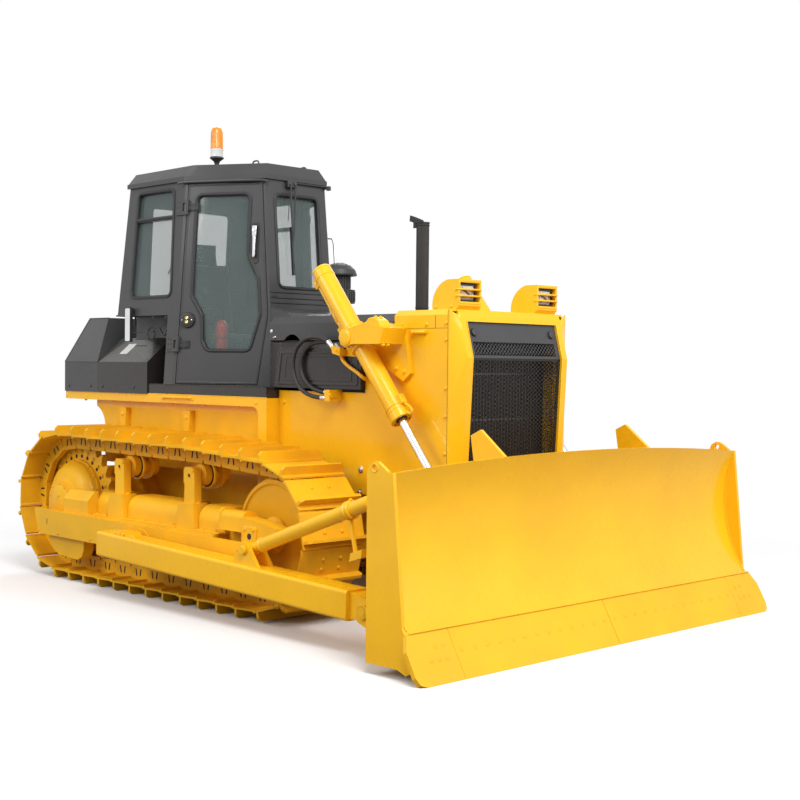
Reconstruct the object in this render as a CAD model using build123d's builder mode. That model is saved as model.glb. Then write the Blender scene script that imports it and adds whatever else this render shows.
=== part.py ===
"""A 17 t crawler bulldozer with a straight tilting blade.

Units are millimetres.  X points forward, Y to the machine's left, Z up.  The origin is on the
ground at the middle of the machine's box.  Every sub-part is one STEP file in parts/.
"""
import os
from math import atan2, cos, degrees, hypot, pi, radians, sin, tan

from build123d import *

os.makedirs("parts", exist_ok=True)

# ------------------------------------------------------------------ driving dimensions
# Tracks
TRACK_GAUGE = 1880
SHOE_WIDTH = 510
SHOE_COUNT = 37
PITCH = 203.2
GROUSER_HEIGHT = 65
SHOE_PLATE = 13
SHOE_LAP = 24
SHOE_LIP = 12
GROUSER_BACK = 8
GROUSER_BAR = 20
GROUSER_CUT = 22
LINK_ABOVE_PIN = 62
LINK_BELOW_PIN = 40
ROW_NEAR = 50
ROW_FAR = 95
SPROCKET_X = -1845
SPROCKET_PITCH_R = 440.6
SPROCKET_TEETH = 27
IDLER_X = 585
IDLER_PITCH_R = 405
CARRIERS = ((-1050, 1010), (-200, 1000))
CARRIER_R = 75
ROLLER_R = 90
ROLLER_COUNT = 6
ROLLER_FIRST_X = -1420
ROLLER_LAST_X = 172

# Track frame
FRAME_LOW = 385
FRAME_TOP = 520
FRAME_INNER_Y = 800
RAIL_INNER_Y = 1205
RAIL_OUTER_Y = 1245
RAIL_REAR_X = -2047
RAIL_FRONT_X = 700
RAIL_BOTTOM = 330
FRAME_REAR_X = -1360
FRAME_FRONT_X = 170
COVER_RUNS = ((FRAME_REAR_X, -1155), (-945, -305), (-95, 195))
COVER_MIDDLE = 975
COVER_HALF = 150
COVER_RISE = 168
COVER_CORNER = 100
POST_Y = (1070, 1130)
FOOT_TOP = 695
BEARING_HALF = 150

# Hull and platform
HULL_HALF = 400
HULL_BOTTOM = 400
HULL_SHELF = 850
DECK_BOTTOM = 1342
DECK_TOP = 1404
DECK_HALF = 670
FLOOR_TOP = 1480
REAR_X = -2560
BODY_HALF = 560
PANEL = 12
PANEL_BOTTOM = 800
PANEL_REAR_X = 52
COVER_FRONT_X = 925
COVER_BOTTOM = 1460
HOOD_LOW = 1805
HOOD_TOP = 1968
HOOD_REAR_X = -60
HOOD_SPLIT_X = 1191
FRONT_HOOD_LOW = 1870
FRONT_HOOD_TOP = 1985
GUARD_REAR_X = 1655
GUARD_TOP_X = 1681
GUARD_BEND = (1748, 1690)
GUARD_FOOT_X = 1700
GUARD_HALF = 484
GRILLE_HALF = 430

# Cab: plan corners on the floor and under the roof (x, |y|), front to rear
CAB_FLOOR = ((-320, 310), (-1046, 686), (-1864, 686))
CAB_EAVES = ((-455, 285), (-1028, 582), (-1761, 582))
EAVES_Z = 2995
ROOF_Z = 3113
WALL = 45
GLASS = 8
SEAM = 6

# Blade and its linkage
TRUNNION = (-600, 372)
ARM_Y = 1360
ARM_WIDTH = 180
ARM_DEPTH = 175
ARM_REAR_X = -840
ARM_BOX_FRONT_X = 1735
ARM_CORNER = 20
ARM_NOSE = (1850, 62, 78)
ARM_PIN = (1900, 279)
BALL_R = 82
BALL_HALF = 65
STUB_R = 45
FIT = 0.6
BLADE_HALF = 1649
EDGE_HALF = 1694
BLADE_REAR_X = 2110
MOLD_CENTRE = (3121.3, 753.2)
MOLD_R = 880
MOLD_PLATE = 20
BLADE_SIDE_TOP = 1077
BLADE_CROWN = 1142
LIFT_Y = 680
LIFT_TRUNNION = (980, 1810)
LIFT_PIN = (2030, 500)
BARREL_R = 64
LIFT_ROD_R = 28
BARREL_ABOVE = 570
BARREL_BELOW = 620
LIFT_ROD_LENGTH = 1474
PISTON = 20
LIFT_EAR_GAP = 42
HOSE_R = 14
HOSE_Y = (655, 622)
HOSE_OUTER = (
    (706, 1761), (672, 1790), (600, 1817), (496, 1823), (400, 1796), (335, 1735), (309, 1655), (318, 1575),
    (362, 1500), (435, 1450), (546, 1420), (651, 1420),
)
HOSE_INNER = (
    (738, 1740), (704, 1766), (640, 1784), (560, 1790), (480, 1781), (410, 1748), (366, 1695), (352, 1635),
    (368, 1570), (415, 1515), (480, 1478), (565, 1456), (651, 1456),
)
PORT_R = 17
BRACE_LOW = (775, 500)
BRACE_HIGH = (2040, 945)
BRACE_R = 43
BRACE_EAR_GAP = 26
ARM_EAR_GAP = 30
FOOT_BALL_R = 34
TILT_BARREL_R = 62
TILT_BARREL_REAR = 95
TILT_BARREL_FRONT = 790
TILT_ROD_R = 27
TILT_ROD_LENGTH = 700

# Derived places
TRACK_Y = TRACK_GAUGE / 2
PIN_FLOOR = GROUSER_HEIGHT + SHOE_PLATE + LINK_ABOVE_PIN
SPROCKET_Z = PIN_FLOOR + SPROCKET_PITCH_R
IDLER_Z = PIN_FLOOR + IDLER_PITCH_R
RAIL_RUN = PIN_FLOOR + LINK_BELOW_PIN


# ------------------------------------------------------------------ shared shapes
def block(x, y, z, mode=Mode.ADD):
    """A box given by its (low, high) limits along each axis."""
    middle = ((x[0] + x[1]) / 2, (y[0] + y[1]) / 2, (z[0] + z[1]) / 2)
    with Locations(middle):
        Box(x[1] - x[0], y[1] - y[0], z[1] - z[0], mode=mode)


def side_plate(points, y, mode=Mode.ADD):
    """A plate with an outline of (x, z) points, standing between two y limits."""
    with BuildSketch(Plane.XZ.offset(-y[1])) as outline:
        with BuildLine():
            Polyline(*points, close=True)
        make_face()
    extrude(outline.sketch, amount=y[1] - y[0], mode=mode)


def cross_plate(points, x, mode=Mode.ADD):
    """A plate with an outline of (y, z) points, standing between two x limits."""
    with BuildSketch(Plane.YZ.offset(x[0])) as outline:
        with BuildLine():
            Polyline(*points, close=True)
        make_face()
    extrude(outline.sketch, amount=x[1] - x[0], mode=mode)


def disc_y(centre, radius, y, mode=Mode.ADD):
    """A round disc or pin along Y, centred on an (x, z) point."""
    with BuildSketch(Plane.XZ.offset(-y[1])) as outline:
        with Locations(centre):
            Circle(radius)
    extrude(outline.sketch, amount=y[1] - y[0], mode=mode)


def disc_z(centre, radius, z, mode=Mode.ADD):
    """A round disc or pin along Z, centred on an (x, y) point."""
    with BuildSketch(Plane.XY.offset(z[0])) as outline:
        with Locations(centre):
            Circle(radius)
    extrude(outline.sketch, amount=z[1] - z[0], mode=mode)


def ear(pin, radius, base, y, bore=0):
    """A lug round an (x, z) pin, drawn out to the two (x, z) points of its base."""
    with BuildSketch(Plane.XZ.offset(-y[1])) as outline:
        with Locations(pin):
            Circle(radius)
        with Locations(base[0], base[1]):
            Circle(1)
        make_hull()
        if bore:
            with Locations(pin):
                Circle(bore, mode=Mode.SUBTRACT)
    extrude(outline.sketch, amount=y[1] - y[0])


def both_sides():
    """Repeat what the current part holds on the machine's other side."""
    mirror(about=Plane.XZ)


def span(near, far, side):
    """Y limits between two distances from the middle, on side -1 (right) or +1 (left)."""
    return tuple(sorted((side * near, side * far)))


def axis_plane(start, end, y):
    """A plane at start, its normal pointing to end, both (x, z) points at the same y."""
    run = (end[0] - start[0], 0, end[1] - start[1])
    return Plane(origin=(start[0], y, start[1]), x_dir=(0, 1, 0), z_dir=run)


def save(builder, name):
    """Label a finished sub-part and write its STEP file."""
    builder.part.label = name
    export_step(builder.part, f"parts/{name}.step")


# ------------------------------------------------------------------ track loop
def track_pins():
    """Pin centres (x, z) at equal steps round the loop, starting under the sprocket."""
    sprocket = (SPROCKET_X, SPROCKET_Z, SPROCKET_PITCH_R)
    idler = (IDLER_X, IDLER_Z, IDLER_PITCH_R)
    carriers = [(x, z) for x, z in reversed(CARRIERS)]
    path = []
    steps = 60
    for i in range(steps + 1):
        angle = -pi / 2 + pi * i / steps
        path.append((idler[0] + idler[2] * cos(angle), idler[1] + idler[2] * sin(angle)))
    path.extend(carriers)
    for i in range(steps + 1):
        angle = pi / 2 + pi * i / steps
        path.append((sprocket[0] + sprocket[2] * cos(angle), sprocket[1] + sprocket[2] * sin(angle)))
    path.append(path[0])
    lengths = [hypot(b[0] - a[0], b[1] - a[1]) for a, b in zip(path, path[1:])]
    step = sum(lengths) / SHOE_COUNT
    pins = []
    passed = 0
    want = 0
    for (a, b), length in zip(zip(path, path[1:]), lengths):
        while want < passed + length and len(pins) < SHOE_COUNT:
            share = (want - passed) / length
            pins.append((a[0] + share * (b[0] - a[0]), a[1] + share * (b[1] - a[1])))
            want += step
        passed += length
    return pins


PINS = track_pins()


def shoe_places():
    """Middle of each shoe's pin line and its heading in degrees, outside to the right."""
    places = []
    for a, b in zip(PINS, PINS[1:] + PINS[:1]):
        heading = degrees(atan2(b[1] - a[1], b[0] - a[0]))
        places.append(Location(((a[0] + b[0]) / 2, (a[1] + b[1]) / 2), heading))
    return places


def add_shoes(side):
    """The 37 shoes: plates with a turned-up front lip, each lapped over the lip of the next one."""
    half = PITCH / 2
    seat = -LINK_ABOVE_PIN
    face = seat - SHOE_PLATE
    outline = (
        (-half - SHOE_LAP, face - 6), (-half - SHOE_LAP, face + 6), (half - 16, seat),
        (half - 2, seat + SHOE_LIP), (half + 6, face + 6), (half - 10, face),
    )
    with BuildSketch(Plane.XZ.offset(-side * TRACK_Y - SHOE_WIDTH / 2)) as shoes:
        with Locations(*shoe_places()):
            Polygon(*outline, align=None)
    extrude(shoes.sketch, amount=SHOE_WIDTH)


def add_grousers(side):
    """One tall bar across each shoe, its two outer corners cut off."""
    face = -LINK_ABOVE_PIN - SHOE_PLATE
    tip = face - GROUSER_HEIGHT
    edge = SHOE_WIDTH / 2
    with BuildPart(mode=Mode.PRIVATE) as bar:
        with BuildSketch(Plane.YZ.offset(-PITCH / 2 + GROUSER_BACK)) as outline:
            Polygon(
                (face + 4, -edge), (tip + GROUSER_CUT, -edge), (tip, -edge + GROUSER_CUT),
                (tip, edge - GROUSER_CUT), (tip + GROUSER_CUT, edge), (face + 4, edge), align=None,
            )
        extrude(outline.sketch, amount=GROUSER_BAR)
    across = Plane.XZ.offset(-side * TRACK_Y).location
    with Locations(*[across * place for place in shoe_places()]):
        add(bar.part)


def add_link_rows(side):
    """The two rows of links that the shoes are bolted to, notched where one link meets the next."""
    half = PITCH / 2
    outline = (
        (-half - 1, -LINK_ABOVE_PIN - 4), (-half - 1, 6), (-half + 12, LINK_BELOW_PIN),
        (half - 12, LINK_BELOW_PIN), (half + 1, 6), (half + 1, -LINK_ABOVE_PIN - 4),
    )
    for near in (-ROW_FAR, ROW_NEAR):
        middle = side * TRACK_Y
        with BuildSketch(Plane.XZ.offset(-middle - near - (ROW_FAR - ROW_NEAR))) as row:
            with Locations(*shoe_places()):
                Polygon(*outline, align=None)
        extrude(row.sketch, amount=ROW_FAR - ROW_NEAR)


for side, name in ((-1, "track_right"), (1, "track_left")):
    with BuildPart() as track:
        add_shoes(side)
        add_grousers(side)
        add_link_rows(side)
    save(track, name)

# ------------------------------------------------------------------ wheels of the track
SPROCKET_WEB = (915, 965)
with BuildPart() as sprockets:
    first_pin = min(PINS, key=lambda pin: pin[0])
    phase = degrees(atan2(first_pin[1] - SPROCKET_Z, first_pin[0] - SPROCKET_X))
    tooth_step = 360 / SPROCKET_TEETH
    with BuildSketch(Plane.XZ.offset(-SPROCKET_WEB[1])) as rim:
        with Locations((SPROCKET_X, SPROCKET_Z)):
            Circle(SPROCKET_PITCH_R - 34)
            with PolarLocations(SPROCKET_PITCH_R - 34, SPROCKET_TEETH, start_angle=phase + tooth_step / 2):
                Polygon((-4, -38), (24, -22), (58, -10), (58, 10), (24, 22), (-4, 38), align=None)
            Circle(310, mode=Mode.SUBTRACT)
    extrude(rim.sketch, amount=SPROCKET_WEB[1] - SPROCKET_WEB[0])
    both_sides()
save(sprockets, "sprockets")

DOME_FACE = 1112
with BuildPart() as final_drives:
    disc_y((SPROCKET_X, SPROCKET_Z), 250, (HULL_HALF, SPROCKET_WEB[0] - 30))
    disc_y((SPROCKET_X, SPROCKET_Z), 310, (SPROCKET_WEB[0] - 30, SPROCKET_WEB[1] + 25))
    dome_axis = Plane(origin=(SPROCKET_X, 0, SPROCKET_Z), x_dir=(0, 1, 0), z_dir=(1, 0, 0))
    with BuildSketch(dome_axis) as dome:
        with BuildLine():
            face = SPROCKET_WEB[1] + 25
            Line((face, 0), (face, 300))
            Line((face, 300), (face + 35, 296))
            ThreePointArc((face + 35, 296), (face + 82, 262), (face + 110, 210))
            Line((face + 110, 210), (DOME_FACE, 150))
            Line((DOME_FACE, 150), (DOME_FACE, 0))
            Line((DOME_FACE, 0), (face, 0))
        make_face()
    revolve(dome.sketch, axis=Axis((SPROCKET_X, 0, SPROCKET_Z), (0, 1, 0)))
    both_sides()
save(final_drives, "final_drives")

BEARING_Y = (DOME_FACE, 1150)
DOME_CLEAR_Y = DOME_FACE + 3
# outline of the shell under the rail: ahead of the sprocket's middle, above the rail's lower edge
LOWER_SHELL = ((-70, 30), (-50, -55), (5, -110), (95, -146), (345, -158), (405, -130), (430, -80), (430, 30))


def wheel(centre, profile, y_middle):
    """A wheel turned about Y: profile lists (distance across, radius) from one face to the other."""
    plane = Plane(origin=(centre[0], y_middle, centre[1]), x_dir=(0, 1, 0), z_dir=(1, 0, 0))
    with BuildSketch(plane) as section:
        with BuildLine():
            Polyline((profile[0][0], 0), *profile, (profile[-1][0], 0), close=True)
        make_face()
    revolve(section.sketch, axis=Axis((centre[0], y_middle, centre[1]), (0, 1, 0)))


IDLER_TREAD_R = IDLER_PITCH_R * cos(PITCH / 2 / IDLER_PITCH_R) - LINK_BELOW_PIN - 1
FLANGE_IN = ROW_NEAR - 4
YOKE_Y = (124, 150)
YOKE_FLANGE_X = (224, 244)
YOKE_COVER_X = 470
YOKE_COVER_Z = 560
with BuildPart() as idlers:
    for side in (-1, 1):
        wheel(
            (IDLER_X, IDLER_Z),
            (
                (-YOKE_Y[0], 78), (-70, 110), (-ROW_FAR + 8, IDLER_TREAD_R - 40), (-ROW_FAR, IDLER_TREAD_R - 22),
                (-ROW_FAR, IDLER_TREAD_R), (-FLANGE_IN, IDLER_TREAD_R), (-FLANGE_IN + 6, IDLER_TREAD_R + 24),
                (FLANGE_IN - 6, IDLER_TREAD_R + 24), (FLANGE_IN, IDLER_TREAD_R), (ROW_FAR, IDLER_TREAD_R),
                (ROW_FAR, IDLER_TREAD_R - 22), (ROW_FAR - 8, IDLER_TREAD_R - 40), (70, 110), (YOKE_Y[0], 78),
            ),
            side * TRACK_Y,
        )
save(idlers, "idlers")


def roller(centre, tread, flange, y_middle):
    """A double-flanged roller whose flanges run between the two link rows."""
    wheel(
        centre,
        (
            (-102, tread), (-FLANGE_IN, tread), (-FLANGE_IN, flange), (-FLANGE_IN + 18, flange),
            (-FLANGE_IN + 18, tread * 0.7), (FLANGE_IN - 18, tread * 0.7), (FLANGE_IN - 18, flange),
            (FLANGE_IN, flange), (FLANGE_IN, tread), (102, tread),
        ),
        y_middle,
    )


ROLLER_Z = RAIL_RUN + ROLLER_R
with BuildPart() as track_rollers:
    roller_step = (ROLLER_LAST_X - ROLLER_FIRST_X) / (ROLLER_COUNT - 1)
    for side in (-1, 1):
        for index in range(ROLLER_COUNT):
            centre = (ROLLER_FIRST_X + index * roller_step, ROLLER_Z)
            roller(centre, ROLLER_R, ROLLER_R + 20, side * TRACK_Y)
save(track_rollers, "track_rollers")

with BuildPart() as carrier_rollers:
    for side in (-1, 1):
        for x, run_z in CARRIERS:
            centre = (x, run_z - LINK_BELOW_PIN - CARRIER_R - 6)
            roller(centre, CARRIER_R, CARRIER_R + 24, side * TRACK_Y)
            disc_y(centre, 26, span(TRACK_Y + 102, POST_Y[0], side))
save(carrier_rollers, "carrier_rollers")

# ------------------------------------------------------------------ track frames
for side, name in ((-1, "track_frame_right"), (1, "track_frame_left")):
    with BuildPart() as track_frame:
        # box beam between the runs, its outer rail and the roller guards
        block((FRAME_REAR_X, FRAME_FRONT_X), span(FRAME_INNER_Y, RAIL_INNER_Y, side), (FRAME_LOW, FRAME_TOP))
        block((-1520, FRAME_REAR_X), span(TRACK_Y + 60, RAIL_INNER_Y, side), (FRAME_LOW, FRAME_TOP))
        side_plate(
            (
                (RAIL_REAR_X, FRAME_TOP), (RAIL_FRONT_X - 60, FRAME_TOP - 20), (RAIL_FRONT_X, 470),
                (RAIL_FRONT_X, 380), (RAIL_FRONT_X - 50, RAIL_BOTTOM - 10), (RAIL_REAR_X + 60, RAIL_BOTTOM),
            ),
            span(RAIL_INNER_Y, RAIL_OUTER_Y, side),
        )
        for near, far in ((TRACK_Y - 140, TRACK_Y - 112), (TRACK_Y + 112, TRACK_Y + 140)):
            side_plate(
                ((-1540, FRAME_LOW), (-1510, 240), (320, 240), (350, FRAME_LOW)),
                span(near, far, side),
            )
        for index in range(ROLLER_COUNT):
            centre = (ROLLER_FIRST_X + index * roller_step, ROLLER_Z)
            for near, far in ((TRACK_Y - 112, TRACK_Y - 102.3), (TRACK_Y + 102.3, TRACK_Y + 112)):
                disc_y(centre, 34, span(near, far, side))
        # rounded recoil-spring covers
        for rear, front in COVER_RUNS:
            with BuildSketch(Plane.YZ.offset(rear)) as cover:
                with Locations((side * COVER_MIDDLE, FRAME_TOP)):
                    RectangleRounded(2 * COVER_HALF, 2 * COVER_RISE, COVER_CORNER)
                    Rectangle(2 * COVER_HALF, COVER_RISE, align=(Align.CENTER, Align.MAX), mode=Mode.SUBTRACT)
            extrude(cover.sketch, amount=front - rear)
        # carrier posts: a broad foot, a neck and a squared clamp head
        for x, run_z in CARRIERS:
            pin_z = run_z - LINK_BELOW_PIN - CARRIER_R - 6
            cross = span(POST_Y[0] - 30, POST_Y[1] + 30, side)
            side_plate(
                ((x - 105, FRAME_TOP), (x - 84, FOOT_TOP), (x + 84, FOOT_TOP), (x + 105, FRAME_TOP)),
                cross,
            )
            side_plate(
                (
                    (x - 58, FOOT_TOP), (x - 54, pin_z - 60), (x - 66, pin_z - 52), (x - 66, pin_z + 34),
                    (x - 48, pin_z + 56), (x + 30, pin_z + 56), (x + 54, pin_z + 30), (x + 58, FOOT_TOP),
                ),
                span(*POST_Y, side),
            )
        # outer bearing of the final drive on the rail's inner side, with its stepped foot
        with BuildSketch(Plane.XZ.offset(-max(side * BEARING_Y[0], side * BEARING_Y[1]))) as bearing:
            with Locations((SPROCKET_X, SPROCKET_Z)):
                Circle(BEARING_HALF)
            with Locations((SPROCKET_X, FRAME_TOP - 60)):
                Rectangle(2 * BEARING_HALF, SPROCKET_Z - FRAME_TOP + 60, align=(Align.CENTER, Align.MIN))
        extrude(bearing.sketch, amount=BEARING_Y[1] - BEARING_Y[0])
        block((SPROCKET_X - 120, FRAME_REAR_X - 160), span(BEARING_Y[0], RAIL_INNER_Y, side),
              (FRAME_TOP - 70, FRAME_TOP - 10))
        foot_section = (
            (DOME_CLEAR_Y, -40), (RAIL_INNER_Y, -40), (RAIL_INNER_Y, 96), (BEARING_Y[1] - 5, 165), (DOME_CLEAR_Y, 165),
        )
        cross_plate(
            [(side * y, FRAME_TOP + rise) for y, rise in foot_section],
            (SPROCKET_X + BEARING_HALF + 4, FRAME_REAR_X + 6),
        )
        # shell of the final drive's lower side, between the rail and the track
        side_plate(
            [(SPROCKET_X + ahead, RAIL_BOTTOM + rise) for ahead, rise in LOWER_SHELL],
            span(DOME_CLEAR_Y, RAIL_INNER_Y - 5, side),
        )
        block((SPROCKET_X + LOWER_SHELL[0][0] + 15, SPROCKET_X + LOWER_SHELL[-1][0] - 15),
              span(DOME_CLEAR_Y, RAIL_INNER_Y, side), (RAIL_BOTTOM + 30, RAIL_BOTTOM + 60))
        # idler yoke: two sliding arms with their bearing blocks
        for near, far in ((TRACK_Y - YOKE_Y[1], TRACK_Y - YOKE_Y[0]), (TRACK_Y + YOKE_Y[0], TRACK_Y + YOKE_Y[1])):
            side_plate(
                (
                    (150, FRAME_LOW), (150, FRAME_TOP), (IDLER_X - 120, IDLER_Z + 90),
                    (IDLER_X + 70, IDLER_Z + 90), (IDLER_X + 120, IDLER_Z), (IDLER_X + 70, IDLER_Z - 90),
                    (IDLER_X - 160, IDLER_Z - 120),
                ),
                span(near, far, side),
            )
        # rounded cover over the yoke's outer arm, with its flange ring
        for x, grow in ((YOKE_FLANGE_X, 14), ((YOKE_FLANGE_X[1], YOKE_COVER_X), 0)):
            with BuildSketch(Plane.YZ.offset(x[0])) as hump:
                with Locations((side * (RAIL_INNER_Y - 70 - grow / 2), YOKE_COVER_Z)):
                    RectangleRounded(124 + grow, 260 + 2 * grow, 44)
                    Rectangle(400, 400, align=(Align.CENTER, Align.MAX), mode=Mode.SUBTRACT)
            extrude(hump.sketch, amount=x[1] - x[0])
        side_plate(
            (
                (YOKE_COVER_X, FRAME_TOP - 40), (YOKE_COVER_X, YOKE_COVER_Z + 100), (IDLER_X - 60, 652),
                (IDLER_X + 70, 640), (IDLER_X + 230, 612), (IDLER_X + 245, 540), (IDLER_X + 100, 470),
            ),
            span(TRACK_Y + YOKE_Y[1], RAIL_INNER_Y, side),
        )
        # trunnion that carries the push arm's ball
        disc_y(TRUNNION, 112, span(RAIL_INNER_Y, RAIL_OUTER_Y + 6, side))
        disc_y(TRUNNION, STUB_R, span(RAIL_OUTER_Y, ARM_Y + BALL_HALF, side))
    save(track_frame, name)

# ------------------------------------------------------------------ hull
HULL_REAR_X = -2075
with BuildPart() as hull:
    side_plate(
        (
            (-1700, HULL_BOTTOM), (1400, HULL_BOTTOM), (GUARD_REAR_X, 600), (GUARD_REAR_X, HULL_SHELF),
            (HULL_REAR_X, HULL_SHELF), (HULL_REAR_X, 620), (-1950, 470),
        ),
        (-HULL_HALF, HULL_HALF),
    )
    with BuildSketch(Plane.XZ.offset(-600)) as case:
        with BuildLine():
            Polyline((HOOD_REAR_X, HULL_SHELF), (HOOD_REAR_X, 1290), (-2200, 1290))
            ThreePointArc((-2200, 1290), (-2110, 1225), (HULL_REAR_X, 1120))
            Line((HULL_REAR_X, 1120), (HULL_REAR_X, HULL_SHELF))
            Line((HULL_REAR_X, HULL_SHELF), (HOOD_REAR_X, HULL_SHELF))
        make_face()
    extrude(case.sketch, amount=1200)
    for x in (-1773, -930):
        for side in (-1, 1):
            side_plate(
                ((x - 30, 1290), (x + 60, 1290), (x + 35, 900), (x - 5, 900)),
                span(600, 645, side),
            )
    # cross beam that ties the two track frames to the hull
    block((-620, -420), (-FRAME_INNER_Y, FRAME_INNER_Y), (430, FRAME_TOP))
    block((-1500, -1350), (-FRAME_INNER_Y, FRAME_INNER_Y), (430, FRAME_TOP))
save(hull, "hull")

with BuildPart() as engine_block:
    block((200, 1380), (-330, 330), (HULL_SHELF, 1620))
save(engine_block, "engine_block")

DRAWBAR_BORE_R = 23
DRAWBAR_X = -2290
with BuildPart() as drawbar:
    for low in (520, 620):
        with BuildSketch(Plane.XY.offset(low)) as tongue:
            with Locations((DRAWBAR_X, 0)):
                Circle(75)
            with Locations((HULL_REAR_X - 1, -110), (HULL_REAR_X - 1, 110)):
                Circle(1)
            make_hull()
            with Locations((DRAWBAR_X, 0)):
                Circle(DRAWBAR_BORE_R, mode=Mode.SUBTRACT)
        extrude(tongue.sketch, amount=40)
    block((HULL_REAR_X - 40, HULL_REAR_X), (-110, 110), (560, 660))
    block((HULL_REAR_X - 40, HULL_REAR_X), (-110, 110), (520, 560))
    block((HULL_REAR_X - 15, HULL_REAR_X), (-160, 160), (640, 720))
save(drawbar, "drawbar")

# ------------------------------------------------------------------ fender deck and platform
LEG_X = (-40, PANEL_REAR_X)
with BuildPart() as fenders:
    block((REAR_X, PANEL_REAR_X), (-DECK_HALF, DECK_HALF), (DECK_BOTTOM, DECK_TOP))
    block((-2200, HOOD_REAR_X), (-600, 600), (1290, DECK_BOTTOM))
    for side in (-1, 1):
        with BuildSketch(Plane.XZ.offset(-max(side * 610, side * DECK_HALF))) as leg:
            with BuildLine():
                Polyline((LEG_X[0], PANEL_BOTTOM), (LEG_X[1], PANEL_BOTTOM), (LEG_X[1], DECK_BOTTOM),
                         (LEG_X[0] - 60, DECK_BOTTOM))
                ThreePointArc((LEG_X[0] - 60, DECK_BOTTOM), (LEG_X[0] - 18, DECK_BOTTOM - 18),
                              (LEG_X[0], DECK_BOTTOM - 60))
                Line((LEG_X[0], DECK_BOTTOM - 60), (LEG_X[0], PANEL_BOTTOM))
            make_face()
        extrude(leg.sketch, amount=DECK_HALF - 610)
        block((LEG_X[0], LEG_X[1]), span(BODY_HALF, 610, side), (PANEL_BOTTOM + 60, DECK_BOTTOM))
save(fenders, "fenders")

BOX_FRONT_X = -1373
with BuildPart() as platform:
    block((BOX_FRONT_X, PANEL_REAR_X - 4), (-DECK_HALF, DECK_HALF), (DECK_TOP, FLOOR_TOP))
    block((-2060, BOX_FRONT_X), (-440, 440), (DECK_TOP, FLOOR_TOP))
save(platform, "platform")

# ------------------------------------------------------------------ rear tank and side boxes
BOX_HALF = 680
BOX_SHOULDER = 1645
TANK_TOP = 2005
TANK_TOP_HALF = 445
TANK_FRONT_X = -2065
TANK_TOP_FRONT_X = -2273
with BuildPart() as fuel_tank:
    cross_plate(
        (
            (-BOX_HALF, DECK_TOP), (-BOX_HALF, BOX_SHOULDER), (-TANK_TOP_HALF, TANK_TOP),
            (TANK_TOP_HALF, TANK_TOP), (BOX_HALF, BOX_SHOULDER), (BOX_HALF, DECK_TOP),
        ),
        (REAR_X, TANK_FRONT_X),
    )
    side_plate(
        (
            (TANK_FRONT_X + 50, BOX_SHOULDER), (TANK_FRONT_X, BOX_SHOULDER), (TANK_TOP_FRONT_X, TANK_TOP),
            (TANK_TOP_FRONT_X, TANK_TOP + 50), (TANK_FRONT_X + 50, TANK_TOP + 50),
        ),
        (-BOX_HALF - 50, BOX_HALF + 50), mode=Mode.SUBTRACT,
    )
    disc_z((-2420, 0), 60, (TANK_TOP, TANK_TOP + 45))
save(fuel_tank, "fuel_tank")

QUARTER_Z = 2000
QUARTER_Y = (TANK_TOP_HALF, TANK_TOP_HALF + PANEL)
QUARTER_X = (-1855, -1150)
SHELF_TOP = 1835
with BuildPart() as side_boxes:
    cross_plate(
        (
            (-BOX_HALF, DECK_TOP), (-BOX_HALF, BOX_SHOULDER), (-QUARTER_Y[1] - 0.3, SHELF_TOP),
            (-QUARTER_Y[1] - 0.3, DECK_TOP),
        ),
        (TANK_FRONT_X + 2, BOX_FRONT_X - 2),
    )
    both_sides()
save(side_boxes, "side_boxes")

# ------------------------------------------------------------------ engine hood, panels and guard
with BuildPart() as hood:
    outer = (
        (-BODY_HALF, HOOD_LOW), (-BODY_HALF, HOOD_TOP - 50), (-BODY_HALF + 48, HOOD_TOP),
        (BODY_HALF - 48, HOOD_TOP), (BODY_HALF, HOOD_TOP - 50), (BODY_HALF, HOOD_LOW),
    )
    inner = (
        (-BODY_HALF + PANEL, HOOD_LOW), (-BODY_HALF + PANEL, HOOD_TOP - 54), (-BODY_HALF + 52, HOOD_TOP - PANEL),
        (BODY_HALF - 52, HOOD_TOP - PANEL), (BODY_HALF - PANEL, HOOD_TOP - 54), (BODY_HALF - PANEL, HOOD_LOW),
    )
    cross_plate(outer, (HOOD_REAR_X, HOOD_SPLIT_X - 2))
    cross_plate(inner, (HOOD_REAR_X + PANEL, HOOD_SPLIT_X), mode=Mode.SUBTRACT)
    for side in (-1, 1):
        disc_y((190, HOOD_LOW - 70), 110, span(BODY_HALF - 40, BODY_HALF + 20, side), mode=Mode.SUBTRACT)
save(hood, "hood")

with BuildPart() as hood_front:
    outer = (
        (-BODY_HALF, FRONT_HOOD_LOW), (-BODY_HALF, FRONT_HOOD_TOP - 34), (-BODY_HALF + 34, FRONT_HOOD_TOP),
        (BODY_HALF - 34, FRONT_HOOD_TOP), (BODY_HALF, FRONT_HOOD_TOP - 34), (BODY_HALF, FRONT_HOOD_LOW),
    )
    inner = (
        (-BODY_HALF + PANEL, FRONT_HOOD_LOW), (-BODY_HALF + PANEL, FRONT_HOOD_TOP - 39),
        (-BODY_HALF + 39, FRONT_HOOD_TOP - PANEL), (BODY_HALF - 39, FRONT_HOOD_TOP - PANEL),
        (BODY_HALF - PANEL, FRONT_HOOD_TOP - 39), (BODY_HALF - PANEL, FRONT_HOOD_LOW),
    )
    cross_plate(outer, (HOOD_SPLIT_X, GUARD_REAR_X))
    cross_plate(inner, (HOOD_SPLIT_X - 5, GUARD_REAR_X + 5), mode=Mode.SUBTRACT)
save(hood_front, "hood_front")

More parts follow.
